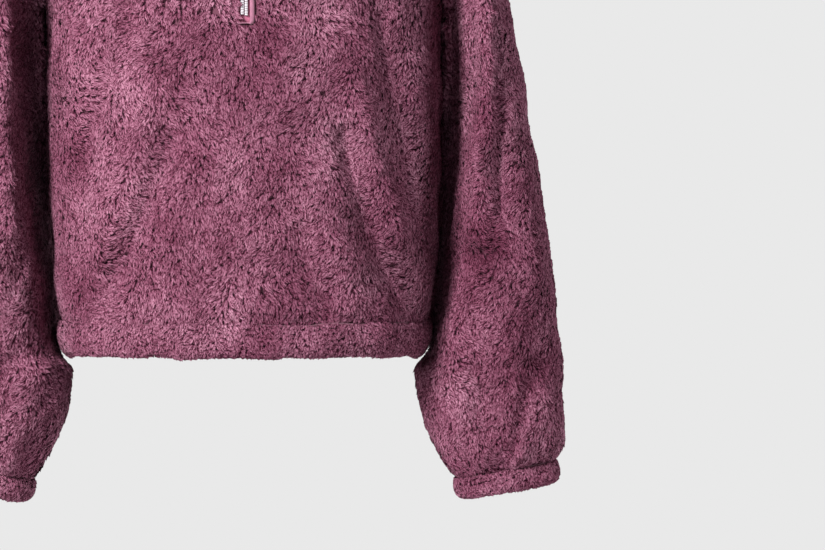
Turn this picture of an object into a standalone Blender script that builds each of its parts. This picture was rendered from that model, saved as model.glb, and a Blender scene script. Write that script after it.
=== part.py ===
"""A cropped fleece pullover with a half zip, in the round shape it has when worn.

The origin is between the two high shoulder points, where the garment is held. +Z is up, the
front faces -Y, and the wearer's left sleeve is at +X. Sizes in the tables are millimetres, and
the outer surface of a cloth piece is where the tips of its pile end.
"""

import collections
import math

import bmesh
import bpy
import numpy as np
from mathutils import Vector

MM = 0.001

# Seams and walls: how far each edge stays back, so that the walls' inner edges part too
SEAM_GAP = 0.3
SIDE_SET_BACK = 0.6
SHOULDER_SET_BACK = 1.0
COLLAR_SET_BACK = 0.8
SLEEVE_HEAD_SET_BACK = 2.3
WALL = 5.0
COLLAR_WALL = 9.0

# Levels
BAND_TOP_Z = -508.0
UNDERARM_Z = -215.0
SHOULDER_TIP_Z = -62.0

# Neck
NECK_HALF_WIDTH = 86.0
FRONT_NECK_DROP = 75.0
BACK_NECK_DROP = 20.0
FRONT_NECK_BEND = 1.2
NECK_SHARE = 5 / 13
COLLAR_HEIGHT_FRONT = 70.0
COLLAR_HEIGHT_SIDE = 43.0
COLLAR_HEIGHT_BACK = 61.0
COLLAR_LEAN_SIDE = 11.0
COLLAR_LEAN_BACK = 9.0

# Zip
SLIT_WIDTH = 11.0
SLIT_BOTTOM_Z = -252.0
TAPE_WIDTH = 28.0
TAPE_COLLAR_WIDTH = 7.6
TAPE_THICK = 1.2
TAPE_BOTTOM_Z = -261.0
TAPE_NECK_DROP = 8.0
TAPE_TOP_GAP = 1.0
CHAIN_TOP_GAP = 3.0
COLLAR_START_DROP = 4.0
COLLAR_LEVELS = 4
CHAIN_WIDTH = 6.2
CHAIN_THICK = 2.4
CHAIN_BOTTOM_Z = -245.0
SLIDER_Z = -17.0
SLIDER_WIDTH = 8.6
SLIDER_HEIGHT = 11.0
SLIDER_THICK = 3.4
SLIDER_ROUNDING = 1.0
BAIL_RADIUS = 3.6
BAIL_WIRE = 0.8
BAIL_SINK = 0.9
BAIL_STEPS = 9
EYE_WIRE = 0.7
EYE_OUT = 1.5
EYE_ROOM_SIDE = 0.7
EYE_ROOM_END = 1.2
EYE_CORNER = 0.5
PULL_WIDTH = 6.0
PULL_LENGTH = 26.0
PULL_THICK = 1.4
PULL_CORNER = 1.4

# Grid counts
FRONT_COLUMNS = 15
BACK_COLUMNS = 10
LOWER_ROWS = 12
UPPER_ROWS = 17
ROW_CROWDING = 1.6
SLEEVE_ROWS = 20
COLLAR_FRONT_COLUMNS = 10
COLLAR_BACK_COLUMNS = 8
COLLAR_ROWS = 4

# Colours, as linear light
FLEECE_COLOUR = (0.22, 0.078, 0.122)
TAPE_COLOUR = (0.40, 0.11, 0.19)
COIL_COLOUR = (0.72, 0.68, 0.72)
METAL_COLOUR = (0.75, 0.73, 0.74)

# How square a section through the body is: 2 is an ellipse
SQUARENESS = 2.2

# Where folds fade: towards the side seams (a power of the share of the half width), over this
# height under the shoulders, and over these sections at a sleeve's ends
SIDE_FADE = 8
SHOULDER_FADE = 60.0
SLEEVE_FADE_START = 1.5
SLEEVE_FADE_IN = 2.5
SLEEVE_FADE_OUT = 1.5

# How fast a sleeve fold fades as the cloth turns away to the side
FACING_GAIN = 1.8

# Body sections: z, half width, depth of the front, depth of the back
TORSO = (
    (-540.0, 150.0, 107.0, 96.0),
    (-508.0, 161.0, 117.0, 106.0),
    (-497.0, 164.5, 121.0, 110.0),
    (-480.0, 166.5, 123.5, 112.0),
    (-455.0, 169.0, 125.0, 113.0),
    (-383.0, 173.0, 128.0, 114.0),
    (-300.0, 174.5, 130.0, 114.0),
    (-215.0, 175.0, 128.0, 114.0),
    (-150.0, 181.0, 117.0, 112.0),
    (-100.0, 188.0, 100.0, 104.0),
    (-62.0, 195.5, 80.0, 90.0),
    (-45.0, 166.0, 71.0, 79.0),
    (-30.0, 139.0, 66.0, 69.0),
    (-15.0, 112.0, 62.0, 58.0),
    (0.0, 86.0, 60.0, 50.0),
)

# Armhole from the underarm to the shoulder tip: share of the way, depth in front, depth
# behind, z in front, z behind
ARMHOLE = (
    (0.00, 0.0, 0.0, -215.0, -215.0),
    (0.12, 22.0, 20.0, -213.0, -213.0),
    (0.27, 43.0, 38.0, -204.0, -205.0),
    (0.42, 57.0, 50.0, -183.0, -185.0),
    (0.57, 60.0, 53.0, -155.0, -155.0),
    (0.72, 52.0, 47.0, -122.0, -122.0),
    (0.87, 32.0, 29.0, -88.0, -87.0),
    (1.00, 0.0, 0.0, -62.0, -62.0),
)

# Sleeve sections from the armhole to the cuff seam: section, outer x, outer z, inner x,
# inner z, half depth, share of the round shape
SLEEVE = (
    (0.0, 195.5, -62.0, 175.0, -215.0, 58.0, 0.00),
    (1.0, 208.0, -77.0, 177.0, -216.5, 67.0, 0.15),
    (2.0, 217.5, -99.0, 178.2, -219.0, 73.0, 0.45),
    (3.0, 224.5, -129.0, 178.9, -223.0, 76.5, 0.80),
    (4.0, 230.0, -165.0, 178.2, -231.0, 78.0, 1.00),
    (5.0, 235.0, -205.0, 177.4, -246.0, 78.0, 1.00),
    (6.0, 242.0, -245.0, 177.0, -270.0, 77.0, 1.00),
    (7.0, 248.5, -285.0, 176.6, -300.0, 75.5, 1.00),
    (8.0, 255.5, -327.0, 176.2, -334.0, 74.0, 1.00),
    (9.0, 262.5, -368.0, 175.6, -371.0, 71.5, 1.00),
    (10.0, 268.5, -404.0, 174.7, -405.0, 69.0, 1.00),
    (11.0, 275.0, -441.0, 173.2, -441.0, 66.0, 1.00),
    (12.0, 279.5, -478.0, 170.4, -479.0, 62.5, 1.00),
    (13.0, 282.5, -508.0, 168.0, -510.0, 60.0, 1.00),
    (14.0, 285.5, -532.0, 166.0, -535.0, 57.0, 1.00),
    (15.0, 287.0, -551.0, 154.5, -553.0, 52.0, 1.00),
    (16.0, 287.5, -573.0, 155.5, -577.0, 50.0, 1.00),
    (17.0, 288.5, -594.0, 160.5, -600.0, 50.0, 1.00),
    (18.0, 287.5, -611.0, 168.5, -620.0, 48.5, 1.00),
    (19.0, 285.5, -623.0, 179.0, -637.0, 42.0, 1.00),
    (20.0, 281.0, -633.5, 188.5, -649.5, 29.0, 1.00),
)

# Gathers above the cuff: how many, their height as a share of the sleeve's size, where the
# first is, and the sections over which they rise and fall
SLEEVE_PUCKERS = 9
PUCKER_SHARE = 0.06
PUCKER_TURN = 0.6
GATHER_START = 17.2
GATHER_RISE = 1.6
GATHER_END = 20.6
GATHER_FALL = 1.2

# Hem band section, once round: how far inside its widest line, z
HEM_BAND = (
    (3.2, -508.2),
    (0.8, -514.0),
    (0.0, -523.0),
    (2.0, -532.5),
    (6.5, -538.6),
    (11.0, -539.6),
    (14.0, -532.0),
    (13.6, -516.0),
    (9.0, -508.2),
)
HEM_BAND_HALF_WIDTH = 164.5
HEM_BAND_DEPTH_FRONT = 121.0
HEM_BAND_DEPTH_BACK = 110.0
HEM_BAND_COLUMNS = 40

# Cuff section, once round: how far outside the sleeve's end ring, distance below that ring
CUFF = (
    (-0.5, 0.5),
    (1.2, 4.0),
    (2.0, 10.0),
    (1.0, 16.5),
    (-3.0, 20.6),
    (-8.0, 20.2),
    (-12.0, 14.0),
    (-11.6, 5.5),
    (-7.6, 0.5),
)

Fold = collections.namedtuple("Fold", "face height reach path")

# Folds of the body: front -1 or back 1, height out of the cloth, reach to each side, and the
# x and z of the points it runs through
BODY_FOLDS = (
    Fold(-1, -9.5, 11, ((87, -348), (97, -388), (115, -440), (137, -481), (146, -498))),
    Fold(-1, 6.0, 11, ((92, -296), (103, -336), (118, -386), (137, -433), (149, -479))),
    Fold(-1, -8.0, 10, ((120, -246), (127, -290), (138, -335), (148, -386), (157, -438))),
    Fold(-1, 4.5, 9, ((150, -280), (155, -318), (160, -352), (163, -390))),
    Fold(-1, -4.5, 13, ((50, -430), (62, -470), (72, -496))),
    Fold(-1, 4.5, 13, ((66, -412), (84, -452), (100, -488))),
    Fold(-1, -4.0, 14, ((112, -150), (118, -185), (112, -222))),
    Fold(-1, -9.0, 14, ((-66, -356), (-82, -398), (-97, -436), (-112, -467), (-132, -494))),
    Fold(-1, 5.5, 14, ((-70, -306), (-88, -345), (-104, -402), (-122, -446))),
    Fold(-1, -8.0, 12, ((-104, -250), (-116, -296), (-132, -336), (-143, -380), (-149, -414))),
    Fold(-1, 4.0, 12, ((-136, -268), (-148, -306), (-155, -350))),
    Fold(-1, -4.0, 14, ((-45, -446), (-31, -484))),
    Fold(-1, -4.0, 14, ((-116, -142), (-125, -184), (-120, -222))),
    Fold(1, -9.0, 15, ((52, -330), (66, -380), (84, -428), (110, -470), (128, -492))),
    Fold(1, 5.0, 15, ((34, -300), (44, -350), (58, -400), (74, -440))),
    Fold(1, -7.5, 14, ((112, -236), (124, -290), (134, -350), (140, -400))),
    Fold(1, -8.0, 15, ((-58, -318), (-70, -372), (-92, -424), (-116, -476))),
    Fold(1, 5.0, 15, ((-30, -310), (-42, -360), (-60, -410), (-78, -452))),
    Fold(1, -7.0, 14, ((-108, -250), (-122, -300), (-136, -356), (-142, -396))),
    Fold(1, -4.0, 16, ((8, -430), (-6, -476))),
)

# Folds of the left sleeve
SLEEVE_FOLDS = (
    Fold(-1, 7.0, 9, ((212, -222), (213, -281), (212, -358), (209, -402), (206, -440))),
    Fold(-1, -9.0, 8, ((226, -212), (227, -282), (227, -350), (226, -412))),
    Fold(-1, 4.5, 12, ((243, -366), (250, -430), (257, -482))),
    Fold(-1, 5.0, 14, ((182, -566), (194, -582))),
    Fold(-1, -6.0, 12, ((202, -552), (211, -568), (222, -574))),
    Fold(-1, -5.5, 10, ((206, -588), (213, -604))),
    Fold(-1, -7.0, 10, ((253, -568), (246, -600), (238, -626))),
    Fold(-1, -5.0, 12, ((256, -524), (266, -541))),
    Fold(-1, -4.5, 13, ((192, -450), (202, -498), (218, -528))),
    Fold(1, -9.0, 10, ((222, -190), (232, -262), (236, -330), (228, -404), (216, -462))),
    Fold(1, 4.5, 12, ((248, -352), (257, -420), (262, -470))),
    Fold(1, -6.5, 12, ((250, -560), (244, -596), (232, -622))),
    Fold(1, -5.5, 12, ((200, -540), (210, -572), (206, -596))),
    Fold(1, 5.0, 14, ((226, -560), (222, -590))),
)

# The tuck between the body and the sleeve's front roll: z, the x of its deepest line, and
# its reach toward the roll
TUCK = (
    (-535.0, 160.0, 10.0),
    (-500.0, 164.0, 13.0),
    (-458.0, 168.0, 15.0),
    (-402.0, 174.0, 17.0),
    (-358.0, 179.5, 17.5),
    (-314.0, 184.5, 17.0),
    (-270.0, 187.0, 16.5),
    (-215.0, 188.0, 16.0),
)
TUCK_DEPTH = 46.0
TUCK_STEEPNESS = 3.0
TUCK_INNER_REACH = 9.0
TUCK_BACK = 66.0
TUCK_OPEN_Z = -300.0
TUCK_OPEN_RUN = 80.0
TUCK_TOP_Z = -186.0
TUCK_TOP_RUN = 42.0
TUCK_END_Z = -545.0
TUCK_END_RUN = 35.0

# The right sleeve has the same folds, shifted and not quite as deep
RIGHT_SLEEVE_SHIFT = (-2.0, 13.0)
RIGHT_SLEEVE_DEPTH = 0.9


def follow(table, at):
    """The table's columns at these values of its first one, along a smooth curve."""
    rows = np.array(table, float)
    key, values = rows[:, 0], rows[:, 1:]
    step = np.diff(key)[:, None]
    slope = np.diff(values, axis=0) / step
    inside = (slope[:-1] * step[1:] + slope[1:] * step[:-1]) / (step[:-1] + step[1:])
    tangent = np.vstack([slope[:1], inside, slope[-1:]])
    at = np.clip(np.asarray(at, float), key[0], key[-1])
    k = np.clip(np.searchsorted(key, at, side="right") - 1, 0, len(step) - 1)
    length = step[k]
    t = ((at - key[k])[..., None]) / length
    found = (
        values[k] * (1 + 2 * t) * (1 - t) ** 2
        + tangent[k] * length * t * (1 - t) ** 2
        + values[k + 1] * t**2 * (3 - 2 * t)
        + tangent[k + 1] * length * t**2 * (t - 1)
    )
    return np.moveaxis(found, -1, 0)


def half_width(z):
    """The body's half width, along straight lines over the shoulder and smooth below."""
    smooth = follow(TORSO, np.minimum(z, SHOULDER_TIP_Z))[0]
    keys = [row[0] for row in TORSO]
    straight = np.interp(z, keys, [row[1] for row in TORSO])
    return np.where(np.asarray(z) > SHOULDER_TIP_Z, straight, smooth)


def round_depth(share):
    """Depth of a body section, as a share, at this share of its half width."""
    left = 1 - np.clip(np.abs(share), 0, 1) ** SQUARENESS
    return np.maximum(left, 0) ** (1 / SQUARENESS)


def path_distance(x, z, path):
    """How far each point is from the line through the path's points."""
    best = np.full(np.shape(x), np.inf)
    for (x0, z0), (x1, z1) in zip(path, path[1:]):
        dx, dz = x1 - x0, z1 - z0
        t = ((x - x0) * dx + (z - z0) * dz) / (dx * dx + dz * dz)
        t = np.clip(t, 0, 1)
        best = np.minimum(best, np.hypot(x - x0 - t * dx, z - z0 - t * dz))
    return best


def fold_height(x, z, face, folds):
    """How far the folds of this face lift the cloth at each point."""
    total = np.zeros(np.shape(x))
    for fold in folds:
        if fold.face == face:
            total += fold.height * np.exp(-((path_distance(x, z, fold.path) / fold.reach) ** 2))
    return total


def on_body(x, z, face):
    """Points of the body's outer surface: face is -1 for the front and 1 for the back."""
    width = half_width(z)
    column = 1 if face < 0 else 2
    depth = follow(TORSO, z)[column]
    share = np.clip(np.abs(x) / width, 0, 1)
    y = depth * round_depth(share)
    lean_x = share ** (SQUARENESS - 1) / width
    lean_y = (y / depth) ** (SQUARENESS - 1) / depth
    size = np.hypot(lean_x, lean_y)
    lift = fold_height(x, z, face, BODY_FOLDS) * (1 - share**SIDE_FADE)
    lift = lift * np.clip((SHOULDER_TIP_Z - z) / SHOULDER_FADE, 0, 1)
    out_x = np.sign(x) * lean_x / size * lift
    out_y = lean_y / size * lift
    return np.stack([x + out_x, face * (y + out_y), z + 0 * x], axis=-1)


def neckline(share, face):
    """The x and z of the neckline, from the middle (0) to the high shoulder point (1)."""
    angle = np.asarray(share) * math.pi / 2
    drop = FRONT_NECK_DROP if face < 0 else BACK_NECK_DROP
    bend = FRONT_NECK_BEND if face < 0 else 1.0
    return NECK_HALF_WIDTH * np.sin(angle), -drop * np.cos(angle) ** bend


def armhole(share, face):
    """The x and z of the armhole, from the underarm (0) to the shoulder tip (1)."""
    front, back, front_z, back_z = follow(ARMHOLE, share)
    y, z = (front, front_z) if face < 0 else (back, back_z)
    depth = follow(TORSO, z)[1 if face < 0 else 2]
    return half_width(z) * round_depth(y / depth), z


def top_edge(share, face, start):
    """The x and z along the neckline and then the shoulder, out to the shoulder tip."""
    first = math.asin(start / NECK_HALF_WIDTH) / (math.pi / 2)
    on_neck = np.clip(share / NECK_SHARE, 0, 1) * (1 - first) + first
    x, z = neckline(on_neck, face)
    along = np.clip((share - NECK_SHARE) / (1 - NECK_SHARE), 0, 1)
    shoulder_z = SHOULDER_TIP_Z * along
    on_shoulder = share > NECK_SHARE
    return np.where(on_shoulder, half_width(shoulder_z), x), np.where(on_shoulder, shoulder_z, z)


def column_spread(share):
    """Share of the half width at this share of the columns."""
    return np.sin(share * math.pi / 2) ** (2 / SQUARENESS)


def panel_plan(face, start, columns, lower, upper):
    """The x and z of half a panel: rows from the hem up, each from the middle to the side."""
    share = np.linspace(0, 1, columns + 1)
    plan = []
    for z in lower:
        x = start + (half_width(z) - start) * column_spread(share)
        plan.append((x, np.full(len(x), z)))
    base_x = start + (half_width(UNDERARM_Z) - start) * column_spread(share)
    top_x, top_z = top_edge(share, face, start)
    for t in upper:
        side_x, side_z = armhole(t, face)
        middle_z = UNDERARM_Z + t * (top_z[0] - UNDERARM_Z)
        x = (1 - t) * base_x + t * top_x
        x += share * (side_x - x[-1])
        z = (1 - t) * UNDERARM_Z + t * top_z
        z += (1 - share) * (middle_z - z[0]) + share * (side_z - z[-1])
        plan.append((np.minimum(x, half_width(z)), z))
    return plan


def row_levels():
    lower = np.linspace(BAND_TOP_Z + SEAM_GAP, SLIT_BOTTOM_Z, LOWER_ROWS + 1)
    upper = 1 - (1 - np.linspace(0, 1, UPPER_ROWS + 1)) ** ROW_CROWDING
    return lower, upper


def panel(face, start, columns):
    """A whole front or back: rows from the hem up, each from the right side to the left."""
    rows = []
    for x, z in panel_plan(face, start, columns, *row_levels()):
        left = on_body(x, z, face)
        right = on_body(-x[::-1], z[::-1], face)
        rows.append(np.concatenate([right, left if start else left[1:]]))
    return np.array(rows)


def set_back(edge, inside, distance):
    """Points of an edge, moved this far towards the row beside it."""
    step = inside - edge
    return edge + step / np.linalg.norm(step, axis=-1, keepdims=True) * distance


def parted(rows):
    """A panel with its side, armhole, shoulder and neck edges set back for the seams."""
    rows = rows.copy()
    rows[:, 0] = set_back(rows[:, 0], rows[:, 1], SIDE_SET_BACK)
    rows[:, -1] = set_back(rows[:, -1], rows[:, -2], SIDE_SET_BACK)
    rows[-1] = set_back(rows[-1], rows[-2], SHOULDER_SET_BACK)
    return rows


def armhole_loop(way):
    """The armhole edge at these shares of the way round: tip, front, underarm, back."""
    points = []
    for turn in way:
        face = -1 if turn <= 0.5 else 1
        along = 1 - 2 * turn if face < 0 else 2 * turn - 1
        share = 1 - (1 - along) ** ROW_CROWDING
        x, z = armhole(share, face)
        points.append(on_body(x, z, face))
    return np.array(points)


def tuck(x, y, z):
    """How far back the cloth lies between the body and the sleeve's front roll."""
    middle, reach = follow(TUCK, z)
    off = x - middle
    open_side = np.clip((TUCK_OPEN_Z - z) / TUCK_OPEN_RUN, 0, 1)
    inner = open_side + (1 - open_side) * np.exp(-((off / TUCK_INNER_REACH) ** 2))
    push = np.where(off < 0, inner, np.exp(-((np.abs(off) / reach) ** TUCK_STEEPNESS)))
    push *= np.clip((TUCK_BACK - y) / TUCK_BACK, 0, 1)
    push *= np.clip((TUCK_TOP_Z - z) / TUCK_TOP_RUN, 0, 1)
    return TUCK_DEPTH * push * np.clip((z - TUCK_END_Z) / TUCK_END_RUN, 0, 1)


def sleeve_rings(sections, way, folds):
    """Rings of the left sleeve's outer surface, at these sections and shares of the way round."""
    loop = armhole_loop(way)
    angle = np.asarray(way) * 2 * math.pi
    rings = []
    first = None
    for section in sections:
        outer_x, outer_z, inner_x, inner_z, half_y, blend = follow(SLEEVE, section)
        middle = np.array([(outer_x + inner_x) / 2, 0, (outer_z + inner_z) / 2])
        arm = np.array([(outer_x - inner_x) / 2, 0, (outer_z - inner_z) / 2])
        length = np.linalg.norm(arm)
        along = arm / length
        out = np.array([along[2], 0, -along[0]])
        if first is None:
            off = loop - middle
            first = (off @ along / length, -off[:, 1] / half_y, off @ out)
        across = (1 - blend) * first[0] + blend * np.cos(angle)
        front = (1 - blend) * first[1] + blend * np.sin(angle)
        bulge = (1 - blend) * first[2]
        gather = np.clip((section - GATHER_START) / GATHER_RISE, 0, 1)
        gather *= np.clip((GATHER_END - section) / GATHER_FALL, 0, 1)
        wave = 1 + gather * PUCKER_SHARE * np.cos(SLEEVE_PUCKERS * angle + PUCKER_TURN)
        ring = middle + np.outer(across * wave, arm) + np.outer(bulge, out)
        ring[:, 1] -= front * wave * half_y
        rings.append(ring)
    rings = np.array(rings)
    sections = np.asarray(sections)
    steady = np.clip((sections - SLEEVE_FADE_START) / SLEEVE_FADE_IN, 0, 1)
    steady *= np.clip((SLEEVE_ROWS - sections) / SLEEVE_FADE_OUT, 0, 1)
    rings[..., 1] += tuck(rings[..., 0], rings[..., 1], rings[..., 2]) * steady[:, None]
    normal = np.cross(
        np.roll(rings, -1, axis=1) - np.roll(rings, 1, axis=1), np.gradient(rings, axis=0)
    )
    normal /= np.linalg.norm(normal, axis=-1, keepdims=True)
    for face in (-1, 1):
        facing = np.clip(face * normal[..., 1] * FACING_GAIN, 0, 1)
        lift = fold_height(rings[..., 0], rings[..., 2], face, folds)
        rings = rings + normal * (lift * facing * steady[:, None])[..., None]
    return rings


def right_sleeve_folds():
    dx, dz = RIGHT_SLEEVE_SHIFT
    return [
        Fold(f.face, f.height * RIGHT_SLEEVE_DEPTH, f.reach, [(x + dx, z + dz) for x, z in f.path])
        for f in SLEEVE_FOLDS
    ]


def band_rings(columns):
    """Rings of the hem band, each a section of it."""
    rings = []
    for angle in np.linspace(0, 2 * math.pi, columns, endpoint=False):
        side, depth = math.cos(angle), math.sin(angle)
        back = HEM_BAND_DEPTH_FRONT if depth < 0 else HEM_BAND_DEPTH_BACK
        ring = []
        for inset, z in HEM_BAND:
            x = (HEM_BAND_HALF_WIDTH - inset) * math.copysign(abs(side) ** (2 / SQUARENESS), side)
            y = (back - inset) * math.copysign(abs(depth) ** (2 / SQUARENESS), depth)
            ring.append((x, y, z))
        rings.append(ring)
    return np.array(rings)


def cuff_rings(columns):
    """Rings of the left cuff, each a section of it."""
    outer_x, outer_z, inner_x, inner_z, half_y, _ = follow(SLEEVE, SLEEVE_ROWS)
    middle = np.array([(outer_x + inner_x) / 2, 0, (outer_z + inner_z) / 2])
    arm = np.array([(outer_x - inner_x) / 2, 0, (outer_z - inner_z) / 2])
    length = np.linalg.norm(arm)
    along = arm / length
    down = np.array([along[2], 0, -along[0]])
    rings = []
    for angle in np.linspace(0, 2 * math.pi, columns, endpoint=False):
        ring = []
        for more, below in CUFF:
            point = middle + along * (length + more) * math.cos(angle) + down * below
            ring.append(point - np.array([0, (half_y + more) * math.sin(angle), 0]))
        rings.append(ring)
    return np.array(rings)


def collar_outline():
    """The neckline seam, from the left edge of the slit round the back to the right edge."""
    first = math.asin(SLIT_WIDTH / 2 / NECK_HALF_WIDTH) / (math.pi / 2)
    front = [neckline(s, -1) + (-1,) for s in np.linspace(first, 1, COLLAR_FRONT_COLUMNS + 1)]
    back = [neckline(s, 1) + (1,) for s in np.linspace(1, 0, COLLAR_BACK_COLUMNS + 1)]
    left = np.array([on_body(x, z, face) for x, z, face in front + back[1:]])
    right = left[-2::-1] * (-1, 1, 1)
    return np.concatenate([left, right])


def collar_rows():
    """Rows of the collar's outer surface, from the neckline up."""
    base = collar_outline()
    flat = base * (1, 1, 0)
    away = flat / np.linalg.norm(flat, axis=1, keepdims=True)
    forward = np.clip(base[:, 1] / base[:, 1].min(), 0, 1) ** 2
    behind = np.clip(base[:, 1] / base[:, 1].max(), 0, 1) ** 2
    height = COLLAR_HEIGHT_SIDE + forward * (COLLAR_HEIGHT_FRONT - COLLAR_HEIGHT_SIDE)
    height += behind * (COLLAR_HEIGHT_BACK - COLLAR_HEIGHT_SIDE)
    lean = COLLAR_LEAN_SIDE * (1 - forward) + behind * (COLLAR_LEAN_BACK - COLLAR_LEAN_SIDE)
    rows = []
    for h in np.linspace(0, 1, COLLAR_ROWS + 1):
        row = base - away * (lean * h)[:, None]
        row[:, 2] += COLLAR_SET_BACK + h * height
        rows.append(row)
    return np.array(rows)


def middle_line(levels):
    """The outer surface at the middle of the front, over the body and up the collar."""
    neck = -FRONT_NECK_DROP
    points = []
    for z in levels:
        points.append(on_body(np.array(0.01), np.array(min(z, neck)), -1) * (0, 1, 0) + (0, 0, z))
    return np.array(points)


def zip_strip(levels, widths, depth):
    """A strip along the middle of the front, this deep below its outer surface."""
    line = middle_line(levels)
    before = middle_line(np.asarray(levels) - 2)
    run = line - before
    run /= np.linalg.norm(run, axis=1, keepdims=True)
    inward = np.stack([0 * run[:, 0], run[:, 2], -run[:, 1]], axis=1)
    line = line + inward * depth
    half = np.array(widths)[:, None] / 2 * np.array([[1.0, 0, 0]])
    return np.stack([line - half, line + half], axis=1)


def material(name, colour, roughness, metallic=0.0):
    made = bpy.data.materials.new(name)
    made.use_nodes = True
    shader = made.node_tree.nodes["Principled BSDF"]
    shader.inputs["Base Color"].default_value = (*colour, 1)
    shader.inputs["Roughness"].default_value = roughness
    shader.inputs["Metallic"].default_value = metallic
    return made


def mesh_object(name, rows, faces, look):
    """An object from rows of points in millimetres and the faces between them."""
    mesh = bpy.data.meshes.new(name)
    mesh.from_pydata((rows.reshape(-1, 3) * MM).tolist(), [], faces)
    made = bpy.data.objects.new(name, mesh)
    made.data.materials.append(look)
    mesh.shade_smooth()
    PARTS.objects.link(made)
    return made


def grid_faces(rows, columns, turn_rows=False, turn_columns=False, skip=()):
    """Faces between neighbouring points of a grid, which may close up either way."""
    faces = []
    for r in range(rows if turn_rows else rows - 1):
        for c in range(columns if turn_columns else columns - 1):
            if (r, c) not in skip:
                r2, c2 = (r + 1) % rows, (c + 1) % columns
                faces.append((r * columns + c, r * columns + c2, r2 * columns + c2, r2 * columns + c))
    return faces


def shell(name, rows, look, wall, turn_columns=False, skip=(), flip=False):
    """A cloth piece: its outer surface, with its wall inside."""
    faces = grid_faces(rows.shape[0], rows.shape[1], False, turn_columns, skip)
    if flip:
        faces = [face[::-1] for face in faces]
    made = mesh_object(name, rows, faces, look)
    solid = made.modifiers.new("Wall", "SOLIDIFY")
    solid.thickness = wall * MM
    solid.offset = -1
    return made


def tube(name, rings, look, flip=False):
    """A closed tube of cloth, such as a cuff, from its sections."""
    faces = grid_faces(rings.shape[0], rings.shape[1], True, True)
    if flip:
        faces = [face[::-1] for face in faces]
    return mesh_object(name, rings, faces, look)


def wire_mesh(name, points, radius):
    """A round wire along these points, as a mesh with its caps welded on."""
    curve = bpy.data.curves.new(name, "CURVE")
    curve.dimensions = "3D"
    curve.bevel_depth = radius * MM
    curve.bevel_resolution = 1
    curve.use_fill_caps = True
    line = curve.splines.new("POLY")
    line.points.add(len(points) - 1)
    for point, place in zip(line.points, points):
        point.co = (*(value * MM for value in place), 1)
    source = bpy.data.objects.new(name, curve)
    GUIDES.objects.link(source)
    bpy.context.view_layer.update()
    graph = bpy.context.evaluated_depsgraph_get()
    mesh = bpy.data.meshes.new_from_object(source.evaluated_get(graph))
    bpy.data.objects.remove(source, do_unlink=True)
    work = bmesh.new()
    work.from_mesh(mesh)
    bmesh.ops.remove_doubles(work, verts=work.verts, dist=1e-6)
    bmesh.ops.recalc_face_normals(work, faces=work.faces)
    work.to_mesh(mesh)
    work.free()
    made = bpy.data.objects.new(name, mesh)
    made.hide_render = True
    made.display_type = "WIRE"
    GUIDES.objects.link(made)
    return made


def rounded_outline(half_width, low, high, radius, steps):
    """Points round a rectangle with round corners."""
    points = []
    corners = (
        (half_width - radius, high - radius, 0),
        (-half_width + radius, high - radius, 90),
        (-half_width + radius, low + radius, 180),
        (half_width - radius, low + radius, 270),
    )
    for x, y, start in corners:
        for step in range(steps + 1):
            angle = math.radians(start + 90 * step / steps)
            points.append((x + radius * math.cos(angle), y + radius * math.sin(angle)))
    return points


def build_body(fleece):
    slit = {
        (row, FRONT_COLUMNS)
        for row in range(LOWER_ROWS, LOWER_ROWS + UPPER_ROWS + 1)
    }
    front = parted(panel(-1, SLIT_WIDTH / 2, FRONT_COLUMNS))
    shell("front", front, fleece, WALL, skip=slit)
    back = parted(panel(1, 0.0, BACK_COLUMNS))
    shell("back", back, fleece, WALL, flip=True)
    tube("hem_band", band_rings(HEM_BAND_COLUMNS), fleece)
    shell("collar", collar_rows(), fleece, COLLAR_WALL)


def build_sleeves(fleece):
    around = 2 * UPPER_ROWS
    way = np.arange(around) / around
    sections = np.arange(SLEEVE_ROWS + 1)
    for side, folds in (("left", SLEEVE_FOLDS), ("right", right_sleeve_folds())):
        rings = sleeve_rings(sections, way, folds)
        rings[0] = set_back(rings[0], rings[1], SLEEVE_HEAD_SET_BACK)
        cuff = cuff_rings(around)
        if side == "right":
            rings = rings * (-1, 1, 1)
            cuff = cuff * (-1, 1, 1)
        shell(f"sleeve_{side}", rings, fleece, WALL, turn_columns=True, flip=side == "right")
        tube(f"cuff_{side}", cuff, fleece, flip=side == "left")


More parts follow.
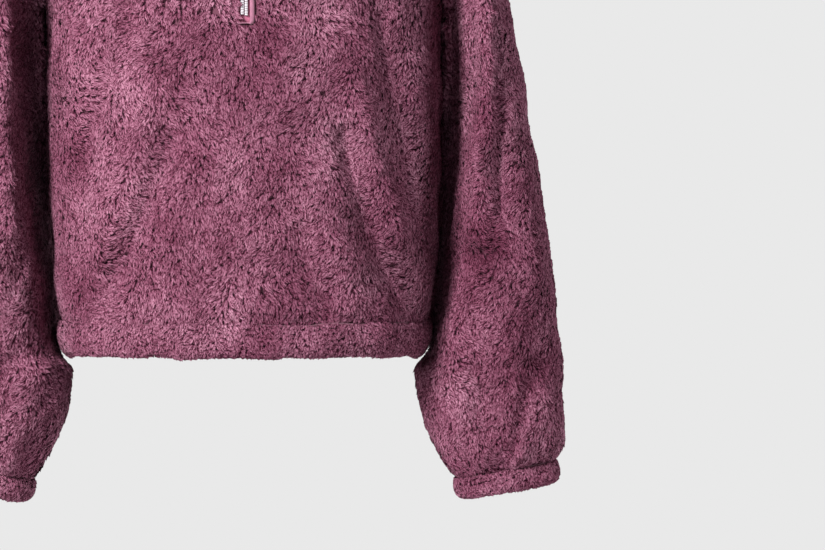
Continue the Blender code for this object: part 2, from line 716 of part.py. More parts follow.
def build_zip(tape, coil, metal):
    depth = WALL + 3 * SEAM_GAP
    upper = row_levels()[1]
    levels = UNDERARM_Z + upper * (-FRONT_NECK_DROP - TAPE_NECK_DROP - UNDERARM_Z)
    start, top = -FRONT_NECK_DROP - COLLAR_START_DROP, COLLAR_HEIGHT_FRONT - FRONT_NECK_DROP
    narrow = np.linspace(start, top - TAPE_TOP_GAP, COLLAR_LEVELS)
    widths = [TAPE_WIDTH] * (len(levels) + 2) + [TAPE_COLLAR_WIDTH] * len(narrow)
    rows = zip_strip(
        np.concatenate([[TAPE_BOTTOM_Z, SLIT_BOTTOM_Z], levels, narrow]), widths, depth
    )
    shell("zip_tape", rows, tape, TAPE_THICK)
    rising = np.linspace(start, top - CHAIN_TOP_GAP, COLLAR_LEVELS)
    levels = np.concatenate([[CHAIN_BOTTOM_Z], levels, rising])
    out = depth - 1.5 * SEAM_GAP - CHAIN_THICK
    rows = zip_strip(levels, [CHAIN_WIDTH] * len(levels), out)
    shell("zip_chain", rows, coil, CHAIN_THICK)

    surface = middle_line([SLIDER_Z])[0, 1]
    rear = surface + out - SEAM_GAP
    bm = bmesh.new()
    bmesh.ops.create_cube(bm, size=1)
    size = Vector((SLIDER_WIDTH, SLIDER_THICK, SLIDER_HEIGHT)) * MM
    bmesh.ops.scale(bm, vec=size, verts=bm.verts)
    mesh = bpy.data.meshes.new("zip_slider")
    bm.to_mesh(mesh)
    bm.free()
    slider = bpy.data.objects.new("zip_slider", mesh)
    slider.location = (0, (rear - SLIDER_THICK / 2) * MM, SLIDER_Z * MM)
    slider.data.materials.append(metal)
    PARTS.objects.link(slider)
    bevel = slider.modifiers.new("Rounding", "BEVEL")
    bevel.width = SLIDER_ROUNDING * MM
    bevel.segments = 2
    face = rear - SLIDER_THICK
    arch = []
    for step in range(BAIL_STEPS + 1):
        angle = math.pi * step / BAIL_STEPS
        out_y = face - BAIL_RADIUS * math.sin(angle)
        arch.append((0, out_y, SLIDER_Z + BAIL_RADIUS * math.cos(angle)))
    arch.insert(0, (0, face + BAIL_SINK, SLIDER_Z + BAIL_RADIUS))
    arch.append((0, face + BAIL_SINK, SLIDER_Z - BAIL_RADIUS))
    bail = wire_mesh("bail", arch, BAIL_WIRE)
    join = slider.modifiers.new("Bail", "BOOLEAN")
    join.operation = "UNION"
    join.object = bail

    outline = bpy.data.curves.new("zip_pull", "CURVE")
    outline.dimensions = "2D"
    outline.fill_mode = "BOTH"
    outline.extrude = PULL_THICK / 2 * MM
    low = EYE_WIRE - PULL_LENGTH
    hole_end = -(BAIL_RADIUS + BAIL_WIRE + EYE_ROOM_END)
    plate = rounded_outline(PULL_WIDTH / 2, low, EYE_WIRE, PULL_CORNER, 3)
    window = rounded_outline(BAIL_WIRE + EYE_ROOM_SIDE, hole_end, -EYE_WIRE, EYE_CORNER, 1)
    for points in (plate, window):
        line = outline.splines.new("POLY")
        line.use_cyclic_u = True
        line.points.add(len(points) - 1)
        for point, (x, y) in zip(line.points, points):
            point.co = (x * MM, y * MM, 0, 1)
    outline.materials.append(metal)
    pull = bpy.data.objects.new("zip_pull", outline)
    pull.location = (0, (face - EYE_OUT) * MM, SLIDER_Z * MM)
    pull.rotation_euler = (math.pi / 2, 0, 0)
    PARTS.objects.link(pull)


def main():
    fleece = material("fleece", FLEECE_COLOUR, 0.95)
    tape = material("tape", TAPE_COLOUR, 0.8)
    coil = material("coil", COIL_COLOUR, 0.4)
    metal = material("metal", METAL_COLOUR, 0.3, 1.0)
    build_body(fleece)
    build_sleeves(fleece)
    build_zip(tape, coil, metal)


for old in list(bpy.data.objects):
    bpy.data.objects.remove(old, do_unlink=True)
PARTS = bpy.data.collections.new("fleece_pullover")
GUIDES = bpy.data.collections.new("guides")
bpy.context.scene.collection.children.link(PARTS)
bpy.context.scene.collection.children.link(GUIDES)
main()
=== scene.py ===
"""The looks of the cropped fleece pullover: backing cloth, long curly pile, zip teeth, edges,
materials, light and camera. Sizes are metres unless a table says millimetres."""

import collections
import math

import bmesh
import bpy
import numpy as np
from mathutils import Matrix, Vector


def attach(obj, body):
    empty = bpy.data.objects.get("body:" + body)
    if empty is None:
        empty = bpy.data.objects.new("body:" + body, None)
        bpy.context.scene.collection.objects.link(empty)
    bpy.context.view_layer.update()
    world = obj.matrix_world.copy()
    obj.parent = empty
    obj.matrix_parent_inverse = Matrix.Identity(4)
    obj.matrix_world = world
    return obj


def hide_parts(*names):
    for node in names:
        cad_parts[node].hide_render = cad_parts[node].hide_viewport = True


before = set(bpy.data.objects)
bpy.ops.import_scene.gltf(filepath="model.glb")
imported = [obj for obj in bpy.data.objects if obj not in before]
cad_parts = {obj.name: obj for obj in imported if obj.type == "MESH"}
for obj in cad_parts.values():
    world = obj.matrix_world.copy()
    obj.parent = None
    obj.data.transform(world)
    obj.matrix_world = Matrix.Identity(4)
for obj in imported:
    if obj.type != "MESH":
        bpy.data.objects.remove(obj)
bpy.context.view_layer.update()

MM = 0.001

# Pile and backing, in millimetres
PILE = 3.4
CUFF_PILE = 2.8
BACKING = 1.3
BAND_BACKING = 1
COLLAR_BACKING = 0.8
EDGE_BACKING = 0.7
UNEVEN = 0.9
UNEVEN_WAVES = (34, 58, 90)

# Locks of the pile: sizes in millimetres, and the least and most of each as shares of its size
LOCK_AREA = 5.3
LOCK_LENGTH = 8
LOCK_LENGTH_VARIES = (0.75, 1.25)
LOCK_WIDTH = 3.6
LOCK_WIDTH_VARIES = (0.8, 1.2)
LOCK_HEIGHT_VARIES = (0.82, 1.08)
LOCK_HEIGHT_WAVE = 0.07
LOCK_HEIGHT_WAVES = (8, 13)
LOCK_RIDGE = 0.42
LOCK_TIP_VARIES = (0.62, 0.9)
LOCK_SWAY = 0.5
LOCK_SINK = 0.95
ROOT_SINK = 0.4
BAND_SHORT = 0.62
OVERHANG = 7
OVERHANG_VARIES = (0.7, 1.15)

# A lock's five points are its root, left edge, ridge, right edge and tip
LOCK_FACES = ((0, 1, 2), (0, 2, 3), (1, 4, 2), (2, 4, 3))
# Tones along a lock: its dark root is painted shade deep in the pile and its light tip is painted
# light
LOCK_PAINTED_SHADE = (0.0, 0.32, 0.85, 0.32, 1.0)
LOCK_ACROSS = (0.5, 0, 0.5, 1, 0.5)
LOCK_ALONG = (0, LOCK_RIDGE, LOCK_RIDGE, LOCK_RIDGE, 1)
STRAND = 1.15
STRAND_SPREAD = 400

# How the locks turn, in radians, over waves of these lengths in millimetres
NAP_SWING = 0.38
NAP_SWING_WAVES = (38, 64, 105)
NAP_CURL = 0.3
NAP_CURL_WAVES = (9, 14)
NAP_JITTER = 0.12
CHEVRON = 1.6
CHEVRON_STEP = 2

# How much each lock's own tone varies, and the heights over which it counts as raised: raised
# locks are painted lighter and low ones darker, as painted light and shade
OWN_TONE = 0.26
OWN_WAVE = 0.13
OWN_WAVES = (48, 85)
RAISED_FROM = 0.7
RAISED_RANGE = 0.55

# Where the pile of the body and the sleeves meets beside the body, in millimetres
CLOSING_X = 2
CLOSING_REACH = 9
CLOSING_DEPTH = 30
CLOSING_RISE = 1
CLOSING_LOW = 0.75
CLOSING_LOW_REACH = 13
CLOSING_TOP_Z = -205
CLOSING_TOP_RUN = 20
CLOSING_END_Z = -556
CLOSING_END_RUN = 10

# The stitching beside the slit, in millimetres: where it lies, its pitch and its reach
STITCH_X = 11.2
STITCH_PITCH = 6.2
STITCH_REACH = 1.7
STITCH_BELOW = 6
STITCH_FACE_Y = 30
STITCH_PRESS = 0.75
STITCH_LEAST = 0.45

# The turned-in edge: where it ends, and its section as distance from the slit and depth
EDGE_END = 8.2
EDGE_END_SHARE = 0.12
EDGE = ((-0.3, 4.6), (-0.7, 3.4), (-0.2, 2.5), (1.0, 2.1), (2.4, 2.3), (3.4, 3.4))
EDGE_CORNER = 2
EDGE_TOP_GAP = 1.2
EDGE_UNEVEN = 0.35
EDGE_UNEVEN_WAVES = (6, 11)
BARE_MARGIN = 0.4
BARE_LOWEST = 0.5
BARE = 0.02

# Zip teeth, in millimetres
TOOTH_PITCH = 1.5
TOOTH_GAP = 0.35
TOOTH_TALL = 1.05
TOOTH_SHOULDER = 1.5
TOOTH_INSET = 0.34
TOOTH_SINK = 0.45
TOOTH_ROUNDING = 0.12
TOOTH_TOP_GAP = 3.5

# Columns and rows of each piece: a panel's are its columns, lower rows and upper rows, and the
# panels and sleeves have a grid for the backing and a finer one for the pile
PANEL_GRIDS = ((28, 38, 28), (100, 80, 60))
SLEEVE_GRIDS = ((64, 80), (150, 180))
CUFF_GRID = (60, 12)
HEM_GRID = (150, 14)
COLLAR_GRID = (34, 8)
COLLAR_BACK_SHARE = 0.8
COLLAR_FOLD_STEPS = 7
COLLAR_SEAM = 0.5
TAPE_GRID = (9, 90)
TAPE_TOP_GAP = 1
FRAME_STEP = 2
JUST_LEFT = 0.01
EDGE_STEPS = 80
EDGE_TURN_STEPS = 13

# Patches of the pile of the front and its sleeves painted lighter or darker, partly brushed pile
# and partly painted light and shade: x, z, reach, amount
BRUSHED_AND_PAINTED_LIGHT = (
    (36, -378, 58, 0.18),
    (212, -430, 55, -0.34),
    (222, -500, 45, -0.18),
    (-2, -300, 38, -0.12),
    (-6, -352, 40, -0.14),
    (219, -572, 45, -0.16),
    (-14, -420, 42, -0.14),
    (60, -500, 60, -0.12),
    (0, -525, 40, -0.1),
    (120, -530, 40, -0.08),
    (-14, -270, 16, -0.22),
    (-8, -302, 18, -0.2),
    (-12, -330, 16, -0.12),
    (44, -368, 20, -0.1),
    (66, -402, 18, -0.1),
    (32, -438, 18, -0.08),
    (44, -478, 16, -0.1),
    (40, -290, 28, 0.14),
    (87, -327, 15, 0.22),
    (-8, -368, 14, 0.14),
    (24, -390, 18, 0.12),
    (0, -445, 16, 0.12),
    (-10, -478, 14, 0.14),
    (100, -474, 12, 0.12),
    (196, -300, 14, 0.1),
    (200, -580, 22, 0.14),
    (232, -540, 22, -0.08),
)

# Colours, as linear light, the power of a lock's tone in each of them, which makes the lighter
# pile greyer as painted sheen, and the pitch in millimetres of a wave texture of scale 1
WAVE_PITCH = 314
SHEEN_HUE_POWERS = (1.0, 1.5, 1.25)
# The root colour is painted shade deep in the pile and the tip colour is painted light on the tips
PILE_SHADED_ROOT = (0.085, 0.018, 0.0388)
PILE_MID = (0.172, 0.05, 0.089)
PILE_LIT_TIP = (0.275, 0.104, 0.159)
BACKING_COLOUR = (0.16, 0.044, 0.077)
TAPE_COLOUR = (0.40, 0.11, 0.19)
EDGE_COLOUR = (0.34, 0.13, 0.2)
COIL_COLOUR = (0.7, 0.66, 0.7)
METAL_COLOUR = (0.75, 0.73, 0.74)
BACKGROUND = (0.815, 0.815, 0.815)
FLOOR_COLOUR = (0.8, 0.8, 0.8)

# Camera, lights (place, size, watts) and floor, in metres but for the sensor, in millimetres
CAMERA = (0, -2.7, -0.44)
AIM = (0.151, 0, -0.469)
FRAME_WIDTH = 0.7425
SENSOR = 36
FLOOR_Z = -1.2
FLOOR_RADIUS = 3.2
AMBIENT = 0.15
LIGHT_AIM = (0.12, 0, -0.42)
LIGHTS = (
    ("key", (-1.7, -2.1, 0.9), 0.8, 160.0),
    ("side", (2.3, -0.7, 0.2), 1.2, 24.0),
    ("behind", (0.6, 2.8, 0.8), 2.0, 60.0),
)

# The cut of the solids, in millimetres, as in the part
WALL = 5
SEAM_GAP = 0.3
SEAM = 0.6
SLIT_COLUMNS = 4
BAND_TOP_Z = -508
UNDERARM_Z = -215
SHOULDER_TIP_Z = -62

NECK_HALF_WIDTH = 86
FRONT_NECK_DROP = 75
BACK_NECK_DROP = 20
FRONT_NECK_BEND = 1.2
NECK_SHARE = 5 / 13
COLLAR_HEIGHT_FRONT = 70
COLLAR_HEIGHT_SIDE = 43
COLLAR_HEIGHT_BACK = 61
COLLAR_LEAN_SIDE = 11
COLLAR_LEAN_BACK = 9
COLLAR_WALL = 9
SLIT_WIDTH = 11
SLIT_BOTTOM_Z = -252
TAPE_WIDTH = 28
TAPE_COLLAR_WIDTH = 7.6
TAPE_THICK = 1.2
TAPE_BOTTOM_Z = -261
TAPE_NECK_DROP = 8
CHAIN_WIDTH = 6.2
CHAIN_THICK = 2.4
CHAIN_BOTTOM_Z = -245
TAPE_NECK_RUN = 4
ZIP_DEPTH = WALL + 3 * SEAM_GAP
ZIP_TOP_Z = COLLAR_HEIGHT_FRONT - FRONT_NECK_DROP
ROW_CROWDING = 1.6
SLEEVE_ROWS = 20

# How square a section through the body is: 2 is an ellipse
SQUARENESS = 2.2

# Where folds fade: towards the side seams (a power of the share of the half width), over this
# height under the shoulders, and over these sections at a sleeve's ends
SIDE_FADE = 8
SHOULDER_FADE = 60
SLEEVE_FADE_START = 1.5
SLEEVE_FADE_IN = 2.5
SLEEVE_FADE_OUT = 1.5

# How fast a sleeve fold fades as the cloth turns away to the side
FACING_GAIN = 1.8

# Body sections: z, half width, depth of the front, depth of the back
TORSO = (
    (-540, 150, 107, 96),
    (-508, 161, 117, 106),
    (-497, 164.5, 121, 110),
    (-480, 166.5, 123.5, 112),
    (-455, 169, 125, 113),
    (-383, 173, 128, 114),
    (-300, 174.5, 130, 114),
    (-215, 175, 128, 114),
    (-150, 181, 117, 112),
    (-100, 188, 100, 104),
    (-62, 195.5, 80, 90),
    (-45, 166, 71, 79),
    (-30, 139, 66, 69),
    (-15, 112, 62, 58),
    (0, 86, 60, 50),
)

# Armhole from the underarm to the shoulder tip: share of the way, depth in front, depth
# behind, z in front, z behind
ARMHOLE = (
    (0, 0, 0, -215, -215),
    (0.12, 22, 20, -213, -213),
    (0.27, 43, 38, -204, -205),
    (0.42, 57, 50, -183, -185),
    (0.57, 60, 53, -155, -155),
    (0.72, 52, 47, -122, -122),
    (0.87, 32, 29, -88, -87),
    (1, 0, 0, -62, -62),
)

# Sleeve sections from the armhole to the cuff seam: section, outer x, outer z, inner x,
# inner z, half depth, share of the round shape
SLEEVE = (
    (0, 195.5, -62, 175, -215, 58, 0),
    (1, 208, -77, 177, -216.5, 67, 0.15),
    (2, 217.5, -99, 178.2, -219, 73, 0.45),
    (3, 224.5, -129, 178.9, -223, 76.5, 0.80),
    (4, 230, -165, 178.2, -231, 78, 1),
    (5, 235, -205, 177.4, -246, 78, 1),
    (6, 242, -245, 177, -270, 77, 1),
    (7, 248.5, -285, 176.6, -300, 75.5, 1),
    (8, 255.5, -327, 176.2, -334, 74, 1),
    (9, 262.5, -368, 175.6, -371, 71.5, 1),
    (10, 268.5, -404, 174.7, -405, 69, 1),
    (11, 275, -441, 173.2, -441, 66, 1),
    (12, 279.5, -478, 170.4, -479, 62.5, 1),
    (13, 282.5, -508, 168, -510, 60, 1),
    (14, 285.5, -532, 166, -535, 57, 1),
    (15, 287, -551, 154.5, -553, 52, 1),
    (16, 287.5, -573, 155.5, -577, 50, 1),
    (17, 288.5, -594, 160.5, -600, 50, 1),
    (18, 287.5, -611, 168.5, -620, 48.5, 1),
    (19, 285.5, -623, 179, -637, 42, 1),
    (20, 281, -633.5, 188.5, -649.5, 29, 1),
)

# Gathers above the cuff: how many, their height as a share of the sleeve's size, where the
# first is, and the sections over which they rise and fall
SLEEVE_PUCKERS = 9
PUCKER_SHARE = 0.06
PUCKER_TURN = 0.6
GATHER_START = 17.2
GATHER_RISE = 1.6
GATHER_END = 20.6
GATHER_FALL = 1.2

# Hem band section, once round: how far inside its widest line, z
HEM_BAND = (
    (3.2, -508.2),
    (0.8, -514),
    (0, -523),
    (2, -532.5),
    (6.5, -538.6),
    (11, -539.6),
    (14, -532),
    (13.6, -516),
    (9, -508.2),
)
HEM_BAND_HALF_WIDTH = 164.5
HEM_BAND_DEPTH_FRONT = 121
HEM_BAND_DEPTH_BACK = 110

# Cuff section, once round: how far outside the sleeve's end ring, distance below that ring
CUFF = (
    (-0.5, 0.5),
    (1.2, 4),
    (2, 10),
    (1, 16.5),
    (-3, 20.6),
    (-8, 20.2),
    (-12, 14),
    (-11.6, 5.5),
    (-7.6, 0.5),
)

Fold = collections.namedtuple("Fold", "face height reach path")

# Folds of the body: front -1 or back 1, height out of the cloth, reach to each side, and the
# x and z of the points it runs through
BODY_FOLDS = (
    Fold(-1, -9.5, 11, ((87, -348), (97, -388), (115, -440), (137, -481), (146, -498))),
    Fold(-1, 6, 11, ((92, -296), (103, -336), (118, -386), (137, -433), (149, -479))),
    Fold(-1, -8, 10, ((120, -246), (127, -290), (138, -335), (148, -386), (157, -438))),
    Fold(-1, 4.5, 9, ((150, -280), (155, -318), (160, -352), (163, -390))),
    Fold(-1, -4.5, 13, ((50, -430), (62, -470), (72, -496))),
    Fold(-1, 4.5, 13, ((66, -412), (84, -452), (100, -488))),
    Fold(-1, -4, 14, ((112, -150), (118, -185), (112, -222))),
    Fold(-1, -9, 14, ((-66, -356), (-82, -398), (-97, -436), (-112, -467), (-132, -494))),
    Fold(-1, 5.5, 14, ((-70, -306), (-88, -345), (-104, -402), (-122, -446))),
    Fold(-1, -8, 12, ((-104, -250), (-116, -296), (-132, -336), (-143, -380), (-149, -414))),
    Fold(-1, 4, 12, ((-136, -268), (-148, -306), (-155, -350))),
    Fold(-1, -4, 14, ((-45, -446), (-31, -484))),
    Fold(-1, -4, 14, ((-116, -142), (-125, -184), (-120, -222))),
    Fold(1, -9, 15, ((52, -330), (66, -380), (84, -428), (110, -470), (128, -492))),
    Fold(1, 5, 15, ((34, -300), (44, -350), (58, -400), (74, -440))),
    Fold(1, -7.5, 14, ((112, -236), (124, -290), (134, -350), (140, -400))),
    Fold(1, -8, 15, ((-58, -318), (-70, -372), (-92, -424), (-116, -476))),
    Fold(1, 5, 15, ((-30, -310), (-42, -360), (-60, -410), (-78, -452))),
    Fold(1, -7, 14, ((-108, -250), (-122, -300), (-136, -356), (-142, -396))),
    Fold(1, -4, 16, ((8, -430), (-6, -476))),
)

# Folds of the left sleeve, as in the part but for the second, which the pile makes softer
SLEEVE_FOLDS = (
    Fold(-1, 7, 9, ((212, -222), (213, -281), (212, -358), (209, -402), (206, -440))),
    Fold(-1, -7.5, 11, ((226, -212), (227, -282), (227, -350), (226, -412))),
    Fold(-1, 4.5, 12, ((243, -366), (250, -430), (257, -482))),
    Fold(-1, 5, 14, ((182, -566), (194, -582))),
    Fold(-1, -6, 12, ((202, -552), (211, -568), (222, -574))),
    Fold(-1, -5.5, 10, ((206, -588), (213, -604))),
    Fold(-1, -7, 10, ((253, -568), (246, -600), (238, -626))),
    Fold(-1, -5, 12, ((256, -524), (266, -541))),
    Fold(-1, -4.5, 13, ((192, -450), (202, -498), (218, -528))),
    Fold(1, -9, 10, ((222, -190), (232, -262), (236, -330), (228, -404), (216, -462))),
    Fold(1, 4.5, 12, ((248, -352), (257, -420), (262, -470))),
    Fold(1, -6.5, 12, ((250, -560), (244, -596), (232, -622))),
    Fold(1, -5.5, 12, ((200, -540), (210, -572), (206, -596))),
    Fold(1, 5, 14, ((226, -560), (222, -590))),
)

# The tuck between the body and the sleeve's front roll: z, the x of its deepest line, and
# its reach toward the roll
TUCK = (
    (-535, 160, 10),
    (-500, 164, 13),
    (-458, 168, 15),
    (-402, 174, 17),
    (-358, 179.5, 17.5),
    (-314, 184.5, 17),
    (-270, 187, 16.5),
    (-215, 188, 16),
)
TUCK_DEPTH = 46
TUCK_STEEPNESS = 3
TUCK_INNER_REACH = 9
TUCK_BACK = 66
TUCK_OPEN_Z = -300
TUCK_OPEN_RUN = 80
TUCK_TOP_Z = -186
TUCK_TOP_RUN = 42
TUCK_END_Z = -545
TUCK_END_RUN = 35

# The right sleeve has the same folds, shifted and not quite as deep
RIGHT_SLEEVE_SHIFT = (-2.0, 13.0)
RIGHT_SLEEVE_DEPTH = 0.9


def follow(table, at):
    """The table's columns at these values of its first one, along a smooth curve."""
    rows = np.array(table, float)
    key, values = rows[:, 0], rows[:, 1:]
    step = np.diff(key)[:, None]
    slope = np.diff(values, axis=0) / step
    inside = (slope[:-1] * step[1:] + slope[1:] * step[:-1]) / (step[:-1] + step[1:])
    tangent = np.vstack([slope[:1], inside, slope[-1:]])
    at = np.clip(np.asarray(at, float), key[0], key[-1])
    k = np.clip(np.searchsorted(key, at, side="right") - 1, 0, len(step) - 1)
    length = step[k]
    t = ((at - key[k])[..., None]) / length
    found = (
        values[k] * (1 + 2 * t) * (1 - t) ** 2
        + tangent[k] * length * t * (1 - t) ** 2
        + values[k + 1] * t**2 * (3 - 2 * t)
        + tangent[k + 1] * length * t**2 * (t - 1)
    )
    return np.moveaxis(found, -1, 0)


def unit(vectors):
    """The vectors at length one."""
    return vectors / np.linalg.norm(vectors, axis=-1, keepdims=True)


def half_width(z):
    """The body's half width, along straight lines over the shoulder and smooth below."""
    smooth = follow(TORSO, np.minimum(z, SHOULDER_TIP_Z))[0]
    keys = [row[0] for row in TORSO]
    straight = np.interp(z, keys, [row[1] for row in TORSO])
    return np.where(np.asarray(z) > SHOULDER_TIP_Z, straight, smooth)


def round_depth(share):
    """Depth of a body section, as a share, at this share of its half width."""
    left = 1 - np.clip(np.abs(share), 0, 1) ** SQUARENESS
    return np.maximum(left, 0) ** (1 / SQUARENESS)


def path_distance(x, z, path):
    """How far each point is from the line through the path's points."""
    best = np.full(np.shape(x), np.inf)
    for (x0, z0), (x1, z1) in zip(path, path[1:]):
        dx, dz = x1 - x0, z1 - z0
        t = ((x - x0) * dx + (z - z0) * dz) / (dx * dx + dz * dz)
        t = np.clip(t, 0, 1)
        best = np.minimum(best, np.hypot(x - x0 - t * dx, z - z0 - t * dz))
    return best


def fold_height(x, z, face, folds):
    """How far the folds of this face lift the cloth at each point."""
    total = np.zeros(np.shape(x))
    for fold in folds:
        if fold.face == face:
            total += fold.height * np.exp(-((path_distance(x, z, fold.path) / fold.reach) ** 2))
    return total


def on_body(x, z, face):
    """Points of the body's outer surface: face is -1 for the front and 1 for the back."""
    width = half_width(z)
    column = 1 if face < 0 else 2
    depth = follow(TORSO, z)[column]
    share = np.clip(np.abs(x) / width, 0, 1)
    y = depth * round_depth(share)
    lean_x = share ** (SQUARENESS - 1) / width
    lean_y = (y / depth) ** (SQUARENESS - 1) / depth
    size = np.hypot(lean_x, lean_y)
    lift = fold_height(x, z, face, BODY_FOLDS) * (1 - share**SIDE_FADE)
    lift = lift * np.clip((SHOULDER_TIP_Z - z) / SHOULDER_FADE, 0, 1)
    out_x = np.sign(x) * lean_x / size * lift
    out_y = lean_y / size * lift
    return np.stack([x + out_x, face * (y + out_y), z + 0 * x], axis=-1)


def neckline(share, face):
    """The x and z of the neckline, from the middle (0) to the high shoulder point (1)."""
    angle = np.asarray(share) * math.pi / 2
    drop = FRONT_NECK_DROP if face < 0 else BACK_NECK_DROP
    bend = FRONT_NECK_BEND if face < 0 else 1.0
    return NECK_HALF_WIDTH * np.sin(angle), -drop * np.cos(angle) ** bend


def armhole(share, face):
    """The x and z of the armhole, from the underarm (0) to the shoulder tip (1)."""
    front, back, front_z, back_z = follow(ARMHOLE, share)
    y, z = (front, front_z) if face < 0 else (back, back_z)
    depth = follow(TORSO, z)[1 if face < 0 else 2]
    return half_width(z) * round_depth(y / depth), z


def top_edge(share, face, start):
    """The x and z along the neckline and then the shoulder, out to the shoulder tip."""
    first = math.asin(start / NECK_HALF_WIDTH) / (math.pi / 2)
    on_neck = np.clip(share / NECK_SHARE, 0, 1) * (1 - first) + first
    x, z = neckline(on_neck, face)
    along = np.clip((share - NECK_SHARE) / (1 - NECK_SHARE), 0, 1)
    shoulder_z = SHOULDER_TIP_Z * along
    on_shoulder = share > NECK_SHARE
    return np.where(on_shoulder, half_width(shoulder_z), x), np.where(on_shoulder, shoulder_z, z)


def column_spread(share):
    """Share of the half width at this share of the columns."""
    return np.sin(share * math.pi / 2) ** (2 / SQUARENESS)


def panel_plan(face, start, columns, lower, upper):
    """The x and z of half a panel: rows from the hem up, each from the middle to the side."""
    share = np.linspace(0, 1, columns + 1)
    plan = []
    for z in lower:
        x = start + (half_width(z) - start) * column_spread(share)
        plan.append((x, np.full(len(x), z)))
    base_x = start + (half_width(UNDERARM_Z) - start) * column_spread(share)
    top_x, top_z = top_edge(share, face, start)
    for t in upper:
        side_x, side_z = armhole(t, face)
        middle_z = UNDERARM_Z + t * (top_z[0] - UNDERARM_Z)
        x = (1 - t) * base_x + t * top_x
        x += share * (side_x - x[-1])
        z = (1 - t) * UNDERARM_Z + t * top_z
        z += (1 - share) * (middle_z - z[0]) + share * (side_z - z[-1])
        plan.append((np.minimum(x, half_width(z)), z))
    return plan


def armhole_loop(way):
    """The armhole edge at these shares of the way round: tip, front, underarm, back."""
    points = []
    for turn in way:
        face = -1 if turn <= 0.5 else 1
        along = 1 - 2 * turn if face < 0 else 2 * turn - 1
        share = 1 - (1 - along) ** ROW_CROWDING
        x, z = armhole(share, face)
        points.append(on_body(x, z, face))
    return np.array(points)


def tuck(x, y, z):
    """How far back the cloth lies between the body and the sleeve's front roll."""
    middle, reach = follow(TUCK, z)
    off = x - middle
    open_side = np.clip((TUCK_OPEN_Z - z) / TUCK_OPEN_RUN, 0, 1)
    inner = open_side + (1 - open_side) * np.exp(-((off / TUCK_INNER_REACH) ** 2))
    push = np.where(off < 0, inner, np.exp(-((np.abs(off) / reach) ** TUCK_STEEPNESS)))
    push *= np.clip((TUCK_BACK - y) / TUCK_BACK, 0, 1)
    push *= np.clip((TUCK_TOP_Z - z) / TUCK_TOP_RUN, 0, 1)
    return TUCK_DEPTH * push * np.clip((z - TUCK_END_Z) / TUCK_END_RUN, 0, 1)


def sleeve_frame(section):
    """A sleeve section: middle, half width as a vector, its length and way, out, depth, blend."""
    outer_x, outer_z, inner_x, inner_z, half_y, blend = follow(SLEEVE, section)
    middle = np.array([(outer_x + inner_x) / 2, 0, (outer_z + inner_z) / 2])
    arm = np.array([(outer_x - inner_x) / 2, 0, (outer_z - inner_z) / 2])
    length = np.linalg.norm(arm)
    along = arm / length
    out = np.array([along[2], 0, -along[0]])
    return middle, arm, length, along, out, half_y, blend


def sleeve_rings(sections, way, folds):
    """Rings of the left sleeve's outer surface, at these sections and shares of the way round."""
    loop = armhole_loop(way)
    angle = np.asarray(way) * 2 * math.pi
    rings = []
    first = None
    for section in sections:
        middle, arm, length, along, out, half_y, blend = sleeve_frame(section)
        if first is None:
            off = loop - middle
            first = (off @ along / length, -off[:, 1] / half_y, off @ out)
        across = (1 - blend) * first[0] + blend * np.cos(angle)
        front = (1 - blend) * first[1] + blend * np.sin(angle)
        bulge = (1 - blend) * first[2]
        gather = np.clip((section - GATHER_START) / GATHER_RISE, 0, 1)
        gather *= np.clip((GATHER_END - section) / GATHER_FALL, 0, 1)
        wave = 1 + gather * PUCKER_SHARE * np.cos(SLEEVE_PUCKERS * angle + PUCKER_TURN)
        ring = middle + np.outer(across * wave, arm) + np.outer(bulge, out)
        ring[:, 1] -= front * wave * half_y
        rings.append(ring)
    rings = np.array(rings)
    sections = np.asarray(sections)
    steady = np.clip((sections - SLEEVE_FADE_START) / SLEEVE_FADE_IN, 0, 1)
    steady *= np.clip((SLEEVE_ROWS - sections) / SLEEVE_FADE_OUT, 0, 1)
    rings[..., 1] += tuck(rings[..., 0], rings[..., 1], rings[..., 2]) * steady[:, None]
    normal = loop_normals(rings, True, False)
    for face in (-1, 1):
        facing = np.clip(face * normal[..., 1] * FACING_GAIN, 0, 1)
        lift = fold_height(rings[..., 0], rings[..., 2], face, folds)
        rings = rings + normal * (lift * facing * steady[:, None])[..., None]
    return rings


def right_sleeve_folds():
    """The left sleeve's folds, in its own mirrored sense, shifted and shallower."""
    dx, dz = RIGHT_SLEEVE_SHIFT
    return [
        Fold(f.face, f.height * RIGHT_SLEEVE_DEPTH, f.reach, [(x + dx, z + dz) for x, z in f.path])
        for f in SLEEVE_FOLDS
    ]


def loop_normals(rows, turned, flip):
    """Outward unit normals of a grid of points."""
    if turned:
        across = np.roll(rows, -1, axis=1) - np.roll(rows, 1, axis=1)
    else:
        across = np.gradient(rows, axis=1)
    normal = unit(np.cross(across, np.gradient(rows, axis=0)))
    return -normal if flip else normal


def waves(points, lengths, seed):
    """Smooth noise of about unit size over the points, with these wavelengths in millimetres."""
    rng = np.random.default_rng(seed)
    total = np.zeros(points.shape[:-1])
    count = 0
    for length in lengths:
        for _ in range(5):
            way = rng.normal(size=3)
            way *= 2 * math.pi / length / np.linalg.norm(way)
            total += np.sin(points @ way + rng.uniform(0, 2 * math.pi))
            count += 1
    return total / math.sqrt(count / 2)


def settle(rows, turned, flip, depth):
    """The backing's outer face under a pile of this depth, softly uneven, and its normals."""
    normal = loop_normals(rows, turned, flip)
    soft = UNEVEN * waves(rows, UNEVEN_WAVES, seed=5)
    rows = rows + normal * (soft - depth)[..., None]
    return rows, normal


